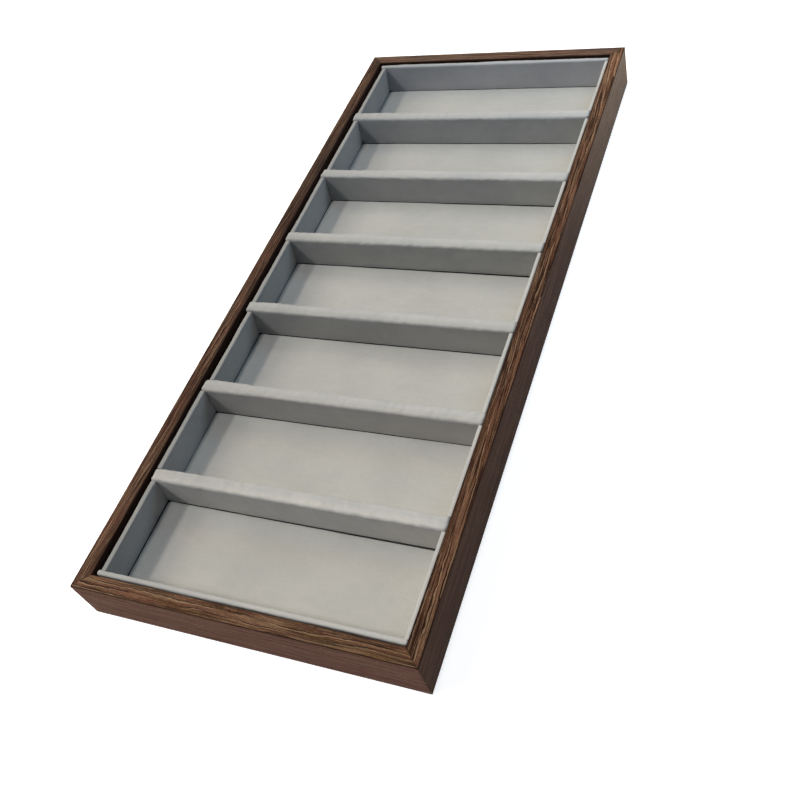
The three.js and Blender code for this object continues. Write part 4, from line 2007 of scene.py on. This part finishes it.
@dataclass(frozen=True)
class Studio:
    """The camera, the lamps, the pale floor and the light all round.

    Attributes:
        camera_place: Where the camera stands.
        camera_aim: The point in the middle of its view.
        camera_roll: How far it is tilted sideways, in degrees.
        lens: Focal length in millimetres.
        sensor: Sensor width in millimetres.
        floor_size: Side of the floor.
        floor_gap: How far the floor lies below the tray, so that no two faces share a plane.
        floor_colour: Colour of the floor for light that falls on it, a little warm against the blue lamp.
        floor_glow: What the floor adds for the eye, so that it looks white.
        sky: Colour of the light all round.
        sky_strength: Its strength.
        lamps: The lamps.
    """

    camera_place: Point = (0.24262, -0.37162, 0.41695)
    camera_aim: Point = (0.03237, -0.08377, 0.015)
    camera_roll: float = 21.943
    lens: float = 42.012
    sensor: float = 36.0
    floor_size: float = 6.0
    floor_gap: float = 0.05 * MM
    floor_colour: Colour = (0.84, 0.80, 0.76)
    floor_glow: float = 0.62
    sky: Colour = (0.0, 0.35, 1.0)
    sky_strength: float = 0.09
    lamps: tuple[Lamp | NearLamp, ...] = (
        Lamp("key", (-0.61, -0.44, 1.0), 6.0, 0.93, (0.97, 0.98, 1.0)),
        Lamp("overhead", (0.0, 0.0, 1.0), 12.0, 1.10, WHITE),
        Lamp("left", (-1.4, 0.0, 1.0), 25.0, 1.20, (1.0, 0.975, 0.86)),
        Lamp("far_left", (-0.7, 0.6, 1.0), 25.0, 0.76, (1.0, 0.74, 0.41)),
        NearLamp("right", (0.32, 0.25, 0.40), 0.25, 0.71, (0.58, 0.79, 1.0)),
    )

    def build(self) -> None:
        """Sets up everything round the tray."""
        self.build_camera()
        self.build_floor()
        self.build_sky()
        for lamp in self.lamps:
            lamp.build()
        bpy.context.scene.view_settings.view_transform = "Standard"

    def build_camera(self) -> None:
        """Stands the camera where the tray is seen as in the photograph."""
        data = bpy.data.cameras.new("camera")
        data.lens = self.lens
        data.sensor_width = self.sensor
        camera = bpy.data.objects.new("camera", data)
        forward = Vector(self.camera_aim) - Vector(self.camera_place)
        level = forward.to_track_quat("-Z", "Y")
        roll = Quaternion((0.0, 0.0, 1.0), -math.radians(self.camera_roll))
        camera.location = self.camera_place
        camera.rotation_mode = "QUATERNION"
        camera.rotation_quaternion = level @ roll
        bpy.context.scene.collection.objects.link(camera)
        bpy.context.scene.camera = camera

    def seen_rays(self, nodes: Nodes) -> Socket:
        """Tells the rays from the eye, straight, mirrored or through glass, from the rest.

        Args:
            nodes: The nodes of the material or the sky.

        Returns:
            1 for those rays and 0 for the rest.
        """
        path = nodes.make("ShaderNodeLightPath")
        mirrored = nodes.math("MAXIMUM", path.outputs["Is Camera Ray"], path.outputs["Is Glossy Ray"])
        return nodes.math("MAXIMUM", mirrored, path.outputs["Is Transmission Ray"])

    def build_floor(self) -> None:
        """Lays the pale floor, which glows a little for the eye alone."""
        half = self.floor_size / 2
        low = -self.floor_gap
        corners = [(-half, -half, low), (half, -half, low), (half, half, low), (-half, half, low)]
        mesh = bpy.data.meshes.new("floor")
        mesh.from_pydata(corners, [], [(0, 1, 2, 3)])
        floor = bpy.data.objects.new("floor", mesh)
        bpy.context.scene.collection.objects.link(floor)
        constants = {
            "Base_Color": (*self.floor_colour, 1.0),
            "Roughness": 1.0,
            "Specular_IOR_Level": 0.0,
            "Emission_Color": (*WHITE, 1.0),
        }
        material, nodes, shader = new_material("floor", **constants)
        nodes.feed(shader.inputs["Emission Strength"], nodes.times(self.seen_rays(nodes), self.floor_glow))
        mesh.materials.append(material)

    def build_sky(self) -> None:
        """Lights the tray from all round, with white behind it for the eye."""
        world = bpy.data.worlds.new("sky")
        world.use_nodes = True
        bpy.context.scene.world = world
        nodes = Nodes(world.node_tree)
        output = world.node_tree.nodes["World Output"]
        soft = world.node_tree.nodes["Background"]
        nodes.feed(soft.inputs["Color"], self.sky)
        soft.inputs["Strength"].default_value = self.sky_strength
        white = nodes.make("ShaderNodeBackground", {"Color": WHITE, "Strength": 1.0})
        inputs = {0: self.seen_rays(nodes), 1: soft.outputs[0], 2: white.outputs[0]}
        nodes.feed(output.inputs["Surface"], nodes.make("ShaderNodeMixShader", inputs).outputs[0])


def main() -> None:
    """Sets up the studio, then makes the tray piece by piece."""
    logging.basicConfig(level=logging.INFO, format="%(message)s")
    Studio().build()
    effects = Effects()
    RailFrame().build(effects)
    TrayBase().build(effects)
    Liner().build(effects)


if __name__ == "__main__":
    main()
